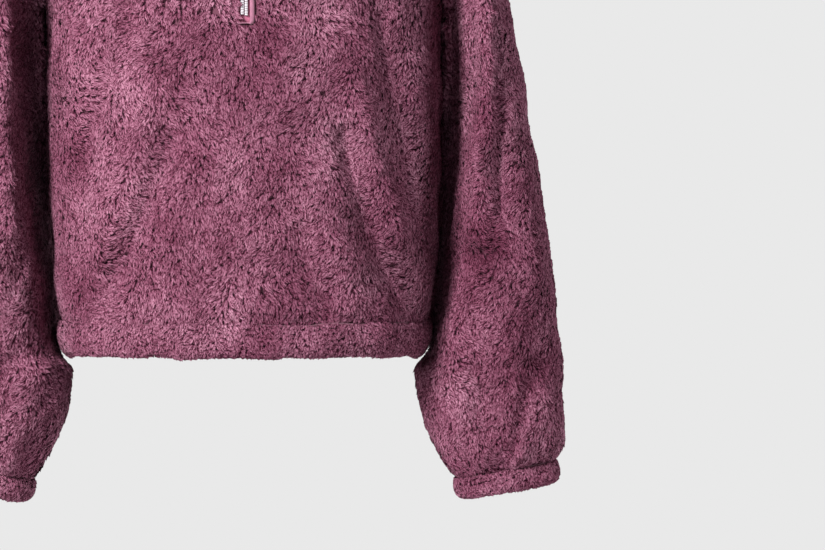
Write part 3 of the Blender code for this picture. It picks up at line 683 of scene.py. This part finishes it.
def panel_grid(face, start, columns, lower_rows, upper_rows):
    """Rows of a front or back from the hem up, with the cells that the slit leaves open."""
    lower = np.linspace(BAND_TOP_Z + SEAM, SLIT_BOTTOM_Z, lower_rows + 1)
    upper = 1 - (1 - np.linspace(0, 1, upper_rows + 1)) ** ROW_CROWDING
    inner = np.linspace(-start, start, SLIT_COLUMNS + 1)[1:-1] if start else np.array([])
    rows = []
    for x, z in panel_plan(face, start, columns, lower, upper):
        left = on_body(x, z, face)
        right = on_body(-x[::-1], z[::-1], face)
        if start:
            middle = on_body(inner, np.full(len(inner), z[0]), face)
            rows.append(np.concatenate([right, middle, left]))
        else:
            rows.append(np.concatenate([right, left[1:]]))
    rows = np.array(rows)
    closed = np.zeros((rows.shape[0] - 1, rows.shape[1] - 1), bool)
    if start:
        closed[lower_rows:, columns : columns + SLIT_COLUMNS] = True
    return rows, closed


def band_grid(section, place, columns, steps):
    """A folded band: rows along its section from the outer seam round to the inner one."""
    table = [(step, *row) for step, row in enumerate(section)]
    rows = []
    for step in np.linspace(0, len(section) - 1, steps + 1):
        first, second = follow(table, step)
        rows.append(place(first, second, np.arange(columns) / columns * 2 * math.pi))
    return np.array(rows)


def hem_place(inset, z, angle):
    """The hem band once round, at these angles, this far inside its widest line."""
    side, depth = np.cos(angle), np.sin(angle)
    back = np.where(depth < 0, HEM_BAND_DEPTH_FRONT, HEM_BAND_DEPTH_BACK)
    x = (HEM_BAND_HALF_WIDTH - inset) * np.sign(side) * np.abs(side) ** (2 / SQUARENESS)
    y = (back - inset) * np.sign(depth) * np.abs(depth) ** (2 / SQUARENESS)
    return np.stack([x, y, 0 * x + z], axis=-1)


def cuff_place(more, below, angle):
    """The cuff once round, this far outside the sleeve's end ring and below it."""
    middle, _, length, along, down, half_y, _ = sleeve_frame(SLEEVE_ROWS)
    ring = middle + np.outer(np.cos(angle), along) * (length + more) + down * below
    ring[:, 1] -= (half_y + more) * np.sin(angle)
    return ring


def collar_grid(columns, steps):
    """The folded collar's backing: up its outer face, over the fold and down inside."""
    first = math.asin(SLIT_WIDTH / 2 / NECK_HALF_WIDTH) / (math.pi / 2)
    front = [neckline(s, -1) + (-1,) for s in np.linspace(first, 1, columns)]
    back = [neckline(s, 1) + (1,) for s in np.linspace(1, 0, int(columns * COLLAR_BACK_SHARE))]
    left = np.array([on_body(x, z, face) for x, z, face in front + back[1:]])
    base = np.concatenate([left, left[-2::-1] * (-1, 1, 1)])
    away = unit(base * (1, 1, 0))
    forward = np.clip(base[:, 1] / base[:, 1].min(), 0, 1) ** 2
    behind = np.clip(base[:, 1] / base[:, 1].max(), 0, 1) ** 2
    height = COLLAR_HEIGHT_SIDE + forward * (COLLAR_HEIGHT_FRONT - COLLAR_HEIGHT_SIDE)
    height += behind * (COLLAR_HEIGHT_BACK - COLLAR_HEIGHT_SIDE)
    lean = COLLAR_LEAN_SIDE * (1 - forward) + behind * (COLLAR_LEAN_BACK - COLLAR_LEAN_SIDE)

    def at(rise):
        row = base - away * (lean * rise / height)[:, None]
        row[:, 2] += rise
        return row

    out = loop_normals(np.array([at(0 * height), at(height)]), False, False)[0]
    turn = COLLAR_WALL / 2 - PILE
    profile = [(step / steps, PILE, 0.0) for step in range(steps)]
    for angle in np.linspace(0, math.pi, COLLAR_FOLD_STEPS):
        profile.append((1.0, PILE + turn * (1 - math.cos(angle)), turn * math.sin(angle)))
    profile += [(step / steps, COLLAR_WALL - PILE, 0.0) for step in range(steps - 1, -1, -1)]
    straight = height - PILE - turn - COLLAR_SEAM
    rows = []
    for share, depth, over in profile:
        rows.append(at(COLLAR_SEAM + share * straight + over) - out * depth)
    return np.array(rows)


def front_point(x, z):
    """The front's outer surface at this x and z, carried straight up over the collar."""
    low = np.minimum(z, -FRONT_NECK_DROP)
    return on_body(x, low, -1) * (1, 1, 0) + np.stack([0 * z, 0 * z, z], axis=-1)


def front_frame(x, z):
    """A point of the front's surface with the directions up along it and out of it."""
    here = front_point(x, z)
    up = unit(here - front_point(x, z - FRAME_STEP))
    out = np.stack([0 * z, -up[..., 2], up[..., 1]], axis=-1)
    return here, up, out


def mesh_from(name, points, faces):
    """A smooth mesh object from points in millimetres and faces, all of as many corners."""
    points = np.asarray(points, np.float32).reshape(-1, 3) * MM
    faces = np.asarray(faces, np.int32)
    mesh = bpy.data.meshes.new(name)
    mesh.vertices.add(len(points))
    mesh.vertices.foreach_set("co", points.ravel())
    mesh.loops.add(faces.size)
    mesh.loops.foreach_set("vertex_index", faces.ravel())
    mesh.polygons.add(len(faces))
    mesh.polygons.foreach_set("loop_start", np.arange(0, faces.size, faces.shape[1]))
    mesh.update(calc_edges=True)
    mesh.validate()
    mesh.shade_smooth()
    made = bpy.data.objects.new(name, mesh)
    bpy.context.scene.collection.objects.link(made)
    return made


def cloth(name, rows, look, wall, turned=False, flip=False, closed=None):
    """A sheet of cloth on a grid, with its thickness laid inside."""
    count, columns = rows.shape[:2]
    points = np.arange(count * columns).reshape(count, columns)
    beside = np.roll(points, -1, axis=1)
    faces = np.stack([points[:-1], beside[:-1], beside[1:], points[1:]], axis=-1)
    if not turned:
        faces = faces[:, :-1]
    if closed is not None:
        used, faces = np.unique(faces[~closed], return_inverse=True)
        rows = rows.reshape(-1, 3)[used]
    faces = faces.reshape(-1, 4)
    made = mesh_from(name, rows, faces[:, ::-1] if flip else faces)
    made.data.materials.append(look)
    solid = made.modifiers.new("Wall", "SOLIDIFY")
    solid.thickness = wall * MM
    solid.offset = -1
    return made


def between(grid, r, c, v, u):
    """The grid's values inside its cells r, c, at the shares v and u of the way across."""
    v, u = v[:, None], u[:, None]
    low = grid[r, c] * (1 - u) + grid[r, c + 1] * u
    high = grid[r + 1, c] * (1 - u) + grid[r + 1, c + 1] * u
    return low * (1 - v) + high * v


def scatter(rows, normal, closed, share, rng):
    """Places in a grid's cells, one for each share of the area at the pile's tips."""
    tips = rows + normal * PILE
    across = tips[:-1, 1:] - tips[:-1, :-1]
    along = tips[1:, :-1] - tips[:-1, :-1]
    area = np.linalg.norm(np.cross(across, along), axis=-1)
    if closed is not None:
        area[closed] = 0
    total = np.cumsum(area.ravel())
    count = int(total[-1] / share)
    at = (np.arange(count) + rng.random(count)) * share
    cell = np.minimum(np.searchsorted(total, at, side="right"), total.size - 1)
    r, c = np.divmod(cell, area.shape[1])
    u = 1 - (total[cell] - at) / area.ravel()[cell]
    return r, c, rng.random(count), u


def comb(root, out, lie, folds, rng):
    """The directions along and across each lock, parted over the folds and swirled."""
    lie = unit(lie - out * np.sum(lie * out, axis=1, keepdims=True))
    side = np.cross(out, lie)
    if folds:
        face = np.where(out[:, 1] < 0, -1, 1)
        tilt = np.zeros(len(root))
        ahead, behind = root + side * CHEVRON_STEP, root - side * CHEVRON_STEP
        for which in (-1, 1):
            rise = fold_height(ahead[:, 0], ahead[:, 2], which, folds)
            rise -= fold_height(behind[:, 0], behind[:, 2], which, folds)
            tilt += np.where(face == which, rise / (2 * CHEVRON_STEP), 0)
        lie = unit(lie - side * (CHEVRON * tilt)[:, None])
        side = np.cross(out, lie)
    turn = NAP_SWING * waves(root, NAP_SWING_WAVES, seed=11)
    turn += NAP_CURL * waves(root, NAP_CURL_WAVES, seed=19)
    turn = (turn + rng.normal(0, NAP_JITTER, len(root)))[:, None]
    turned_lie = lie * np.cos(turn) + side * np.sin(turn)
    return turned_lie, side * np.cos(turn) - lie * np.sin(turn)


def pile(
    name, rows, normal, look, nap, seed, closed=None, turned=False, folds=(), seam=None, short=1.0
):
    """Curly locks all over a grid. nap is 1 where they lie along the rows and -1 against them.

    Each lock is a tapering strip with a ridge, from its root at the backing to a raised tip.
    short is the share of the full length that they have.
    """
    rng = np.random.default_rng(seed)
    if turned:
        rows = np.concatenate([rows, rows[:, :1]], axis=1)
        normal = np.concatenate([normal, normal[:, :1]], axis=1)
    share = LOCK_AREA * short * 1
    place = scatter(rows, normal, closed, share, rng)
    root = between(rows, *place)
    out = unit(between(normal, *place))
    count = len(root)
    lie, side = comb(root, out, between(np.gradient(rows, axis=0), *place) * nap, folds, rng)

    reach = np.cumsum(np.linalg.norm(np.diff(rows, axis=0), axis=-1), axis=0)
    reach = np.concatenate([np.zeros((1, rows.shape[1])), reach])
    gone = between(reach[..., None], *place)[:, 0]
    left = reach[-1, place[1]] - gone if nap > 0 else gone
    length = LOCK_LENGTH * short * rng.uniform(*LOCK_LENGTH_VARIES, count)
    past = OVERHANG * rng.uniform(*OVERHANG_VARIES, count)
    length = np.minimum(length, left + past)[:, None]
    width = LOCK_WIDTH * rng.uniform(*LOCK_WIDTH_VARIES, count)[:, None]
    high = rng.uniform(*LOCK_HEIGHT_VARIES, count)
    high = high + LOCK_HEIGHT_WAVE * waves(root, LOCK_HEIGHT_WAVES, seed=23) + closing(root)
    if seam is not None:
        keep, low = seam(root)
        high *= low
        width *= keep[:, None]

    rise = out * (PILE * high)[:, None]
    ridge = root + lie * length * LOCK_RIDGE + rise
    sway = side * rng.normal(0, LOCK_SWAY, count)[:, None]
    tip = root + lie * length + rise * rng.uniform(*LOCK_TIP_VARIES, count)[:, None] + sway
    half = side * width / 2
    sink = out * (LOCK_SINK * high)[:, None]
    edges = ridge - half - sink, ridge + half - sink
    points = np.stack([root - out * ROOT_SINK, edges[0], ridge, edges[1], tip], axis=1)
    faces = (np.arange(count) * len(LOCK_PAINTED_SHADE))[:, None, None] + np.array(LOCK_FACES)[:, ::-1]
    made = mesh_from(name, points, faces.reshape(-1, 3))
    shade_locks(made, faces.reshape(-1), root, high, width, length, rng)
    made.data.materials.append(look)
    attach(made, "garment")
    return made


def shade_locks(made, corners, root, high, width, length, rng):
    """Stores each point's tone (painted shade at the root, painted light at the tip), own tone
    (with brushed patches and painted light and shade) and height, and a flat place along the
    strands.
    """
    count = len(root)
    own = 0.5 + OWN_TONE * (rng.random(count) - 0.5) + OWN_WAVE * waves(root, OWN_WAVES, seed=29)
    colour = np.ones((count, len(LOCK_PAINTED_SHADE), 4), np.float32)
    colour[..., 0] = LOCK_PAINTED_SHADE
    colour[..., 1] = np.clip(own + brushed_and_painted_light(root), 0, 1)[:, None]
    colour[..., 2] = np.clip((high - RAISED_FROM) / RAISED_RANGE, 0, 1)[:, None]
    stored = made.data.attributes.new("lock", "FLOAT_COLOR", "POINT")
    stored.data.foreach_set("color", colour.ravel())
    over = np.array(LOCK_ACROSS) * width + rng.uniform(0, STRAND_SPREAD, (count, 1))
    up = np.array(LOCK_ALONG) * length + rng.uniform(0, STRAND_SPREAD, (count, 1))
    flat = np.stack([over, up], axis=-1).reshape(-1, 2)[corners] / STRAND
    layer = made.data.uv_layers.new(name="strands")
    layer.data.foreach_set("uv", flat.astype(np.float32).ravel())


def closing(root):
    """How much further the pile stands where the body and a sleeve press together."""
    x, y, z = np.abs(root[:, 0]), root[:, 1], root[:, 2]
    beside = np.clip((CLOSING_TOP_Z - z) / CLOSING_TOP_RUN, 0, 1)
    beside *= np.clip((z - CLOSING_END_Z) / CLOSING_END_RUN, 0, 1)
    near = np.exp(-(((x - half_width(z) - CLOSING_X) / CLOSING_REACH) ** 2))
    low = 1 + CLOSING_LOW * np.exp(-(((z - BAND_TOP_Z) / CLOSING_LOW_REACH) ** 2))
    return CLOSING_RISE * near * beside * low * np.exp(-((y / CLOSING_DEPTH) ** 2))


def brushed_and_painted_light(root):
    """How much lighter or darker the front's side of the pile is painted: brushed patches, and
    painted light and shade.
    """
    total = np.zeros(len(root))
    for x, z, reach, amount in BRUSHED_AND_PAINTED_LIGHT:
        near = np.exp(-(((root[:, 0] - x) ** 2 + (root[:, 2] - z) ** 2) / reach**2))
        total += np.where(root[:, 1] < 0, amount * near, 0)
    return total


def seam_dimples(root):
    """How wide and how high the locks stand along the stitching beside the slit."""
    x, z = np.abs(root[:, 0]), root[:, 2]
    beside = (z > SLIT_BOTTOM_Z - STITCH_BELOW) & (np.abs(root[:, 1]) > STITCH_FACE_Y)
    bare = beside & (x < EDGE_END - BARE_MARGIN) & (z > SLIT_BOTTOM_Z + BARE_LOWEST)
    stitch = 0.5 - 0.5 * np.cos(z * 2 * math.pi / STITCH_PITCH)
    pressed = np.exp(-(((x - STITCH_X) / STITCH_REACH) ** 2)) * beside
    pressed *= STITCH_LEAST + (1 - STITCH_LEAST) * stitch
    return np.where(bare, BARE, 1.0), np.where(bare, BARE, 1 - STITCH_PRESS * pressed)


def node(tree, kind, inputs=None, **settings):
    """A shader node with these settings, and its inputs linked to sockets or set to values."""
    made = tree.nodes.new(kind)
    for key, value in settings.items():
        setattr(made, key, value)
    for key, value in (inputs or {}).items():
        if isinstance(value, bpy.types.NodeSocket):
            tree.links.new(value, made.inputs[key])
        else:
            made.inputs[key].default_value = value
    return made


def material(name, colour, roughness, metallic=0.0, sheen=0.0, sheen_tint=(1, 1, 1)):
    """A new material with its node tree and its shader."""
    made = bpy.data.materials.new(name)
    made.use_nodes = True
    tree = made.node_tree
    shader = tree.nodes["Principled BSDF"]
    values = {
        "Base Color": (*colour, 1),
        "Roughness": roughness,
        "Metallic": metallic,
        "Sheen Weight": sheen,
        "Sheen Roughness": 0.5,
        "Sheen Tint": (*sheen_tint, 1),
    }
    for key, value in values.items():
        shader.inputs[key].default_value = value
    return made, tree, shader


def noise(tree, scale, detail):
    """Noise over the piece, at this scale per metre."""
    place = node(tree, "ShaderNodeTexCoord").outputs["Object"]
    inputs = {"Vector": place, "Scale": scale, "Detail": detail}
    return node(tree, "ShaderNodeTexNoise", inputs).outputs[0]


def tinted(tree, colour, amount, scale):
    """A colour that varies by this share over noise of this scale."""
    dark = tuple(value * (1 - amount) for value in colour)
    light = tuple(min(1.0, value * (1 + amount)) for value in colour)
    inputs = {0: noise(tree, scale, 3.0), 6: (*dark, 1), 7: (*light, 1)}
    return node(tree, "ShaderNodeMix", inputs, data_type="RGBA").outputs[2]


def calculate(tree, operation, first, second=None):
    """The result of one sum on two numbers."""
    inputs = {0: first} if second is None else {0: first, 1: second}
    return node(tree, "ShaderNodeMath", inputs, operation=operation).outputs[0]


def remap(tree, value, low, high, start=0.0, stop=1.0):
    """The value, moved from the range start to stop to the range low to high."""
    inputs = {0: value, 1: start, 2: stop, 3: low, 4: high}
    return node(tree, "ShaderNodeMapRange", inputs).outputs[0]


def add_bump(tree, shader, height, strength, distance):
    """A bump of this height in metres on the shader."""
    inputs = {"Height": height, "Strength": strength, "Distance": distance}
    bump = node(tree, "ShaderNodeBump", inputs)
    tree.links.new(bump.outputs[0], shader.inputs["Normal"])


def pile_look():
    """The pile: roots darkened as painted shade, tips lighter as painted light, fine parting lines
    darkened as painted shade, and greyer where it is lighter as painted sheen.
    """
    made, tree, shader = material("fleece_pile", PILE_MID, 1.0, 0.0, 0.03, (1.0, 0.55, 0.7))
    shader.inputs["Specular IOR Level"].default_value = 0.1
    lock = node(tree, "ShaderNodeAttribute", attribute_name="lock")
    parts = node(tree, "ShaderNodeSeparateColor", {0: lock.outputs["Color"]}).outputs
    # Dark roots to light tips: painted shade deep in the pile, painted light on the tips
    ramp = node(tree, "ShaderNodeValToRGB", {0: parts[0]})
    ramp.color_ramp.elements[0].color = (*PILE_SHADED_ROOT, 1)
    ramp.color_ramp.elements[1].color = (*PILE_LIT_TIP, 1)
    ramp.color_ramp.elements[1].position = 1.0
    ramp.color_ramp.elements.new(0.5).color = (*PILE_MID, 1)
    strand = node(tree, "ShaderNodeUVMap", uv_map="strands").outputs[0]
    strand = node(tree, "ShaderNodeVectorMath", {0: strand, 1: (1, 0.17, 1)}, operation="MULTIPLY")
    fibre = node(
        tree, "ShaderNodeTexNoise", {"Vector": strand.outputs[0], "Scale": 1.0, "Detail": 2.0}
    )
    # Thin dark lines where the fibre noise is near its middle: painted shade in the partings
    # between strands, also used as bump.
    apart = calculate(tree, "SUBTRACT", fibre.outputs[0], 0.5)
    apart = calculate(tree, "ABSOLUTE", apart)
    factor = remap(tree, parts[1], 0.55, 1.45)
    for other in (
        # Higher locks are painted lighter and lower ones darker: painted light and shade.
        remap(tree, parts[2], 0.75, 1.15),
        remap(tree, noise(tree, 22.0, 2.0), 0.9, 1.1, 0.3, 0.7),
        remap(tree, apart, 0.04, 1.25, 0.008, 0.07),
    ):
        factor = calculate(tree, "MULTIPLY", factor, other)
    # Lighter pile is made greyer: painted sheen.
    shares = [calculate(tree, "POWER", factor, power) for power in SHEEN_HUE_POWERS]
    share = node(tree, "ShaderNodeCombineXYZ", dict(enumerate(shares))).outputs[0]
    scaled = node(
        tree, "ShaderNodeVectorMath", {0: ramp.outputs[0], 1: share}, operation="MULTIPLY"
    )
    tree.links.new(scaled.outputs[0], shader.inputs["Base Color"])
    add_bump(tree, shader, apart, 0.6, 0.001)
    return made


def knit_look(name, colour, pitch, amount=0.12, sheen=0.2):
    """Knitted or woven cloth: crossed ribs at this pitch in millimetres."""
    made, tree, shader = material(name, colour, 0.92, 0.0, sheen, (1.0, 0.8, 0.88))
    place = node(tree, "ShaderNodeTexCoord").outputs["Object"]
    inputs = {"Vector": place, "Scale": WAVE_PITCH / pitch, "Distortion": 1.2, "Detail": 1.0}
    ribs = [
        node(tree, "ShaderNodeTexWave", inputs, bands_direction=way).outputs["Fac"]
        for way in ("X", "Z")
    ]
    both = calculate(tree, "MULTIPLY", *ribs)
    base = tinted(tree, colour, amount, 60.0)
    scaled = node(tree, "ShaderNodeVectorMath", {0: base}, operation="SCALE")
    tree.links.new(remap(tree, both, 0.82, 1.12), scaled.inputs["Scale"])
    tree.links.new(scaled.outputs[0], shader.inputs["Base Color"])
    add_bump(tree, shader, both, 0.6, 0.0003)
    return made


def plain_look(name, colour, roughness, metallic, amount, scale):
    """Plastic or metal, with slight wear in its colour and polish."""
    made, tree, shader = material(name, colour, roughness, metallic)
    tree.links.new(tinted(tree, colour, amount, scale), shader.inputs["Base Color"])
    wear = noise(tree, scale * 3, 4.0)
    rough = remap(tree, wear, roughness * 0.75, min(1.0, roughness * 1.35))
    tree.links.new(rough, shader.inputs["Roughness"])
    add_bump(tree, shader, wear, 0.15, 0.0001)
    return made


def declare(piece, nodes):
    """Attaches a piece to the garment and hides the parts that it replaces."""
    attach(piece, "garment")
    if nodes:
        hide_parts(*nodes)


def dress_panels(backing, fur):
    """The front, with its slit, and the back."""
    for name, face, start, seed in (("front", -1, SLIT_WIDTH / 2, 31), ("back", 1, 0.0, 37)):
        flip = face > 0
        rows, closed = panel_grid(face, start, *PANEL_GRIDS[0])
        rows, _ = settle(rows, False, flip, PILE)
        sheet = cloth(f"{name}_cloth", rows, backing, BACKING, flip=flip, closed=closed)
        rows, closed = panel_grid(face, start, *PANEL_GRIDS[1])
        rows, normal = settle(rows, False, flip, PILE)
        seam = seam_dimples if start else None
        hair = pile(
            f"{name}_pile", rows, normal, fur, -1, seed, closed, folds=BODY_FOLDS, seam=seam
        )
        declare(sheet, [name])


def dress_sleeves(backing, fur):
    """Both sleeves and their cuffs."""
    for side, folds, seed in (("left", SLEEVE_FOLDS, 41), ("right", right_sleeve_folds(), 43)):
        mirror = (1, 1, 1) if side == "left" else (-1, 1, 1)
        flip = side == "right"
        grids = []
        for around, sections in SLEEVE_GRIDS:
            way = np.arange(around) / around
            rings = sleeve_rings(np.linspace(0, SLEEVE_ROWS, sections + 1), way, folds) * mirror
            grids.append(settle(rings, True, flip, PILE))
        sheet = cloth(
            f"sleeve_{side}_cloth", grids[0][0], backing, BACKING, turned=True, flip=flip
        )
        shown = [f._replace(path=[(x * mirror[0], z) for x, z in f.path]) for f in folds]
        hair = pile(f"sleeve_{side}_pile", *grids[1], fur, 1, seed, turned=True, folds=shown)
        declare(sheet, [f"sleeve_{side}"])
        rows = band_grid(CUFF, cuff_place, *CUFF_GRID) * mirror
        rows, normal = settle(rows, True, flip, CUFF_PILE)
        sheet = cloth(f"cuff_{side}_cloth", rows, backing, BAND_BACKING, turned=True, flip=flip)
        hair = pile(
            f"cuff_{side}_pile", rows, normal, fur, 1, seed + 10, turned=True, short=BAND_SHORT
        )
        declare(
            sheet, [f"cuff_{side}"]
        )


def dress_bands(backing, fur):
    """The hem band and the collar."""
    rows = band_grid(HEM_BAND, hem_place, *HEM_GRID)
    rows, normal = settle(rows, True, True, PILE)
    sheet = cloth("hem_band_cloth", rows, backing, BAND_BACKING, turned=True, flip=True)
    hair = pile("hem_band_pile", rows, normal, fur, 1, 61, turned=True, short=BAND_SHORT)
    declare(sheet, ["hem_band"])
    rows = collar_grid(*COLLAR_GRID)
    sheet = cloth("collar_cloth", rows, backing, COLLAR_BACKING)
    normal = loop_normals(rows, False, False)
    hair = pile("collar_pile", rows, normal, fur, 1, 67, short=BAND_SHORT)
    declare(sheet, ["collar"])


def dress_tape(tape):
    """The woven tape behind the slit, which narrows where the collar starts."""
    columns, count = TAPE_GRID
    levels = np.linspace(TAPE_BOTTOM_Z, ZIP_TOP_Z - TAPE_TOP_GAP, count)
    here, _, out = front_frame(np.full(len(levels), JUST_LEFT), levels)
    neck = np.clip((levels + FRONT_NECK_DROP + TAPE_NECK_DROP) / TAPE_NECK_RUN, 0, 1)
    half = (1 - neck) * TAPE_WIDTH / 2 + neck * TAPE_COLLAR_WIDTH / 2
    rows = []
    for share in np.linspace(-1, 1, columns):
        across = np.stack([share * half, 0 * half, 0 * half], axis=1)
        rows.append(here * (0, 1, 1) + across - out * ZIP_DEPTH)
    woven = cloth("zip_tape_woven", np.stack(rows, axis=1), tape, TAPE_THICK)
    declare(woven, ["zip_tape"])


def tooth_shape():
    """A tooth's rings of corners, from its foot up: away from the middle, along, out."""
    shape = []
    for height, inset in ((0.0, 0.0), (TOOTH_SHOULDER, 0.0), (CHAIN_THICK, TOOTH_INSET)):
        near, far = TOOTH_GAP + inset * 0.4, CHAIN_WIDTH / 2 - inset
        back, ahead = -0.5 + inset * 0.5, 0.5 - inset * 0.5
        shape += [(near, back, height), (far, back, height)]
        shape += [(far, ahead, height), (near, ahead, height)]
    faces = [(8, 9, 10, 11)]
    for low in (0, 4):
        for k in range(4):
            faces.append((low + k, low + (k + 1) % 4, low + 4 + (k + 1) % 4, low + 4 + k))
    return np.array(shape), faces


def dress_teeth(coil):
    """Two rows of teeth, half a pitch apart."""
    levels = np.arange(CHAIN_BOTTOM_Z, ZIP_TOP_Z - TOOTH_TOP_GAP, TOOTH_PITCH)
    shape, faces = tooth_shape()
    points, quads = [], []
    for side, shift in ((1, 0.0), (-1, TOOTH_PITCH / 2)):
        here, up, out = front_frame(np.full(len(levels), JUST_LEFT), levels + shift)
        here = here * (0, 1, 1) - out * (ZIP_DEPTH - TOOTH_SINK)
        for k in range(len(levels)):
            tooth = here[k] + np.outer(shape[:, 0] * side, (1, 0, 0))
            tooth += np.outer(shape[:, 1] * TOOTH_TALL, up[k])
            tooth += np.outer(shape[:, 2], out[k])
            first = len(shape) * len(points)
            points.append(tooth)
            for face in faces:
                quads.append([first + corner for corner in face[::side]])
    teeth = mesh_from("zip_teeth", np.array(points), quads)
    teeth.data.materials.append(coil)
    bevel = teeth.modifiers.new("Rounding", "BEVEL")
    bevel.width = TOOTH_ROUNDING * MM
    bevel.segments = 1
    declare(teeth, ["zip_chain"])


def slit_path():
    """Down one side of the slit, round its lower end and up the other: x, z and away from it."""
    half = SLIT_WIDTH / 2
    foot = SLIT_BOTTOM_Z + EDGE_CORNER
    down = np.linspace(ZIP_TOP_Z - EDGE_TOP_GAP, foot, EDGE_STEPS)
    path = [(half, z, 1.0, 0.0) for z in down]
    for angle in np.linspace(0, math.pi, EDGE_TURN_STEPS)[1:-1]:
        over, below = math.cos(angle), math.sin(angle)
        x = (half - EDGE_CORNER) * np.sign(over) + EDGE_CORNER * over
        wide = EDGE_END_SHARE + (1 - EDGE_END_SHARE) * abs(over)
        path.append((x, foot - EDGE_CORNER * below, wide * over, -wide * below))
    path += [(-half, z, -1.0, 0.0) for z in down[::-1]]
    return np.array(path)


def dress_edge(edge):
    """The front's turned-in edge round the slit."""
    path = slit_path()
    rows = []
    for away, below in EDGE:
        x, z = path[:, 0] + away * path[:, 2], path[:, 1] + away * path[:, 3]
        here, _, out = front_frame(x, z)
        lift = EDGE_UNEVEN * waves(here, EDGE_UNEVEN_WAVES, seed=71)
        rows.append(here - out * (below - lift)[:, None])
    turned_in = cloth("slit_edge", np.array(rows), edge, EDGE_BACKING)
    declare(turned_in, [])
    return turned_in


def aimed(made, place, target):
    """Puts a camera or lamp here, turned to the target, and returns how far off that is."""
    made.location = place
    aim = Vector(target) - made.location
    made.rotation_euler = aim.to_track_quat("-Z", "Y").to_euler()
    bpy.context.scene.collection.objects.link(made)
    return aim.length


def stage_and_light():
    """The floor, the studio's background, the lamps and the camera."""
    floor = bpy.data.meshes.new("floor")
    work = bmesh.new()
    bmesh.ops.create_circle(work, cap_ends=True, segments=96, radius=FLOOR_RADIUS)
    work.to_mesh(floor)
    work.free()
    ground = bpy.data.objects.new("floor", floor)
    ground.location = (0, 0, FLOOR_Z)
    bpy.context.scene.collection.objects.link(ground)
    pale, tree, shader = material("floor", FLOOR_COLOUR, 0.9)
    tree.links.new(tinted(tree, FLOOR_COLOUR, 0.01, 4.0), shader.inputs["Base Color"])
    ground.data.materials.append(pale)

    world = bpy.data.worlds.new("studio")
    world.use_nodes = True
    tree = world.node_tree
    back = tree.nodes["Background"]
    back.inputs["Color"].default_value = (*BACKGROUND, 1)
    seen = node(tree, "ShaderNodeLightPath").outputs["Is Camera Ray"]
    tree.links.new(remap(tree, seen, AMBIENT, 1.0), back.inputs["Strength"])
    bpy.context.scene.world = world

    for name, place, size, watts in LIGHTS:
        lamp = bpy.data.lights.new(name, "AREA")
        lamp.shape = "SQUARE"
        lamp.size = size
        lamp.energy = watts
        aimed(bpy.data.objects.new(name, lamp), place, LIGHT_AIM)

    lens = bpy.data.cameras.new("camera")
    lens.sensor_width = SENSOR
    lens.clip_start = 0.05
    made = bpy.data.objects.new("camera", lens)
    lens.lens = SENSOR * aimed(made, CAMERA, AIM) / FRAME_WIDTH
    bpy.context.scene.camera = made
    bpy.context.scene.view_settings.view_transform = "Standard"


def main():
    """Builds every piece and gives each its look."""
    stage_and_light()
    backing = knit_look("fleece_backing", BACKING_COLOUR, 12.0)
    fur = pile_look()
    tape = knit_look("woven_tape", TAPE_COLOUR, 9.0, 0.08, 0.15)
    edge = knit_look("turned_edge", EDGE_COLOUR, 8.0, 0.1, 0.3)
    coil = plain_look("zip_plastic", COIL_COLOUR, 0.45, 0.0, 0.05, 300.0)
    metal = plain_look("zip_metal", METAL_COLOUR, 0.3, 1.0, 0.06, 160.0)
    dress_tape(tape)
    dress_teeth(coil)
    turned_in = dress_edge(edge)
    dress_panels(backing, fur)
    dress_sleeves(backing, fur)
    dress_bands(backing, fur)
    for name in ("zip_slider", "zip_pull"):
        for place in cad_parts[name].material_slots:
            place.material = metal


main()
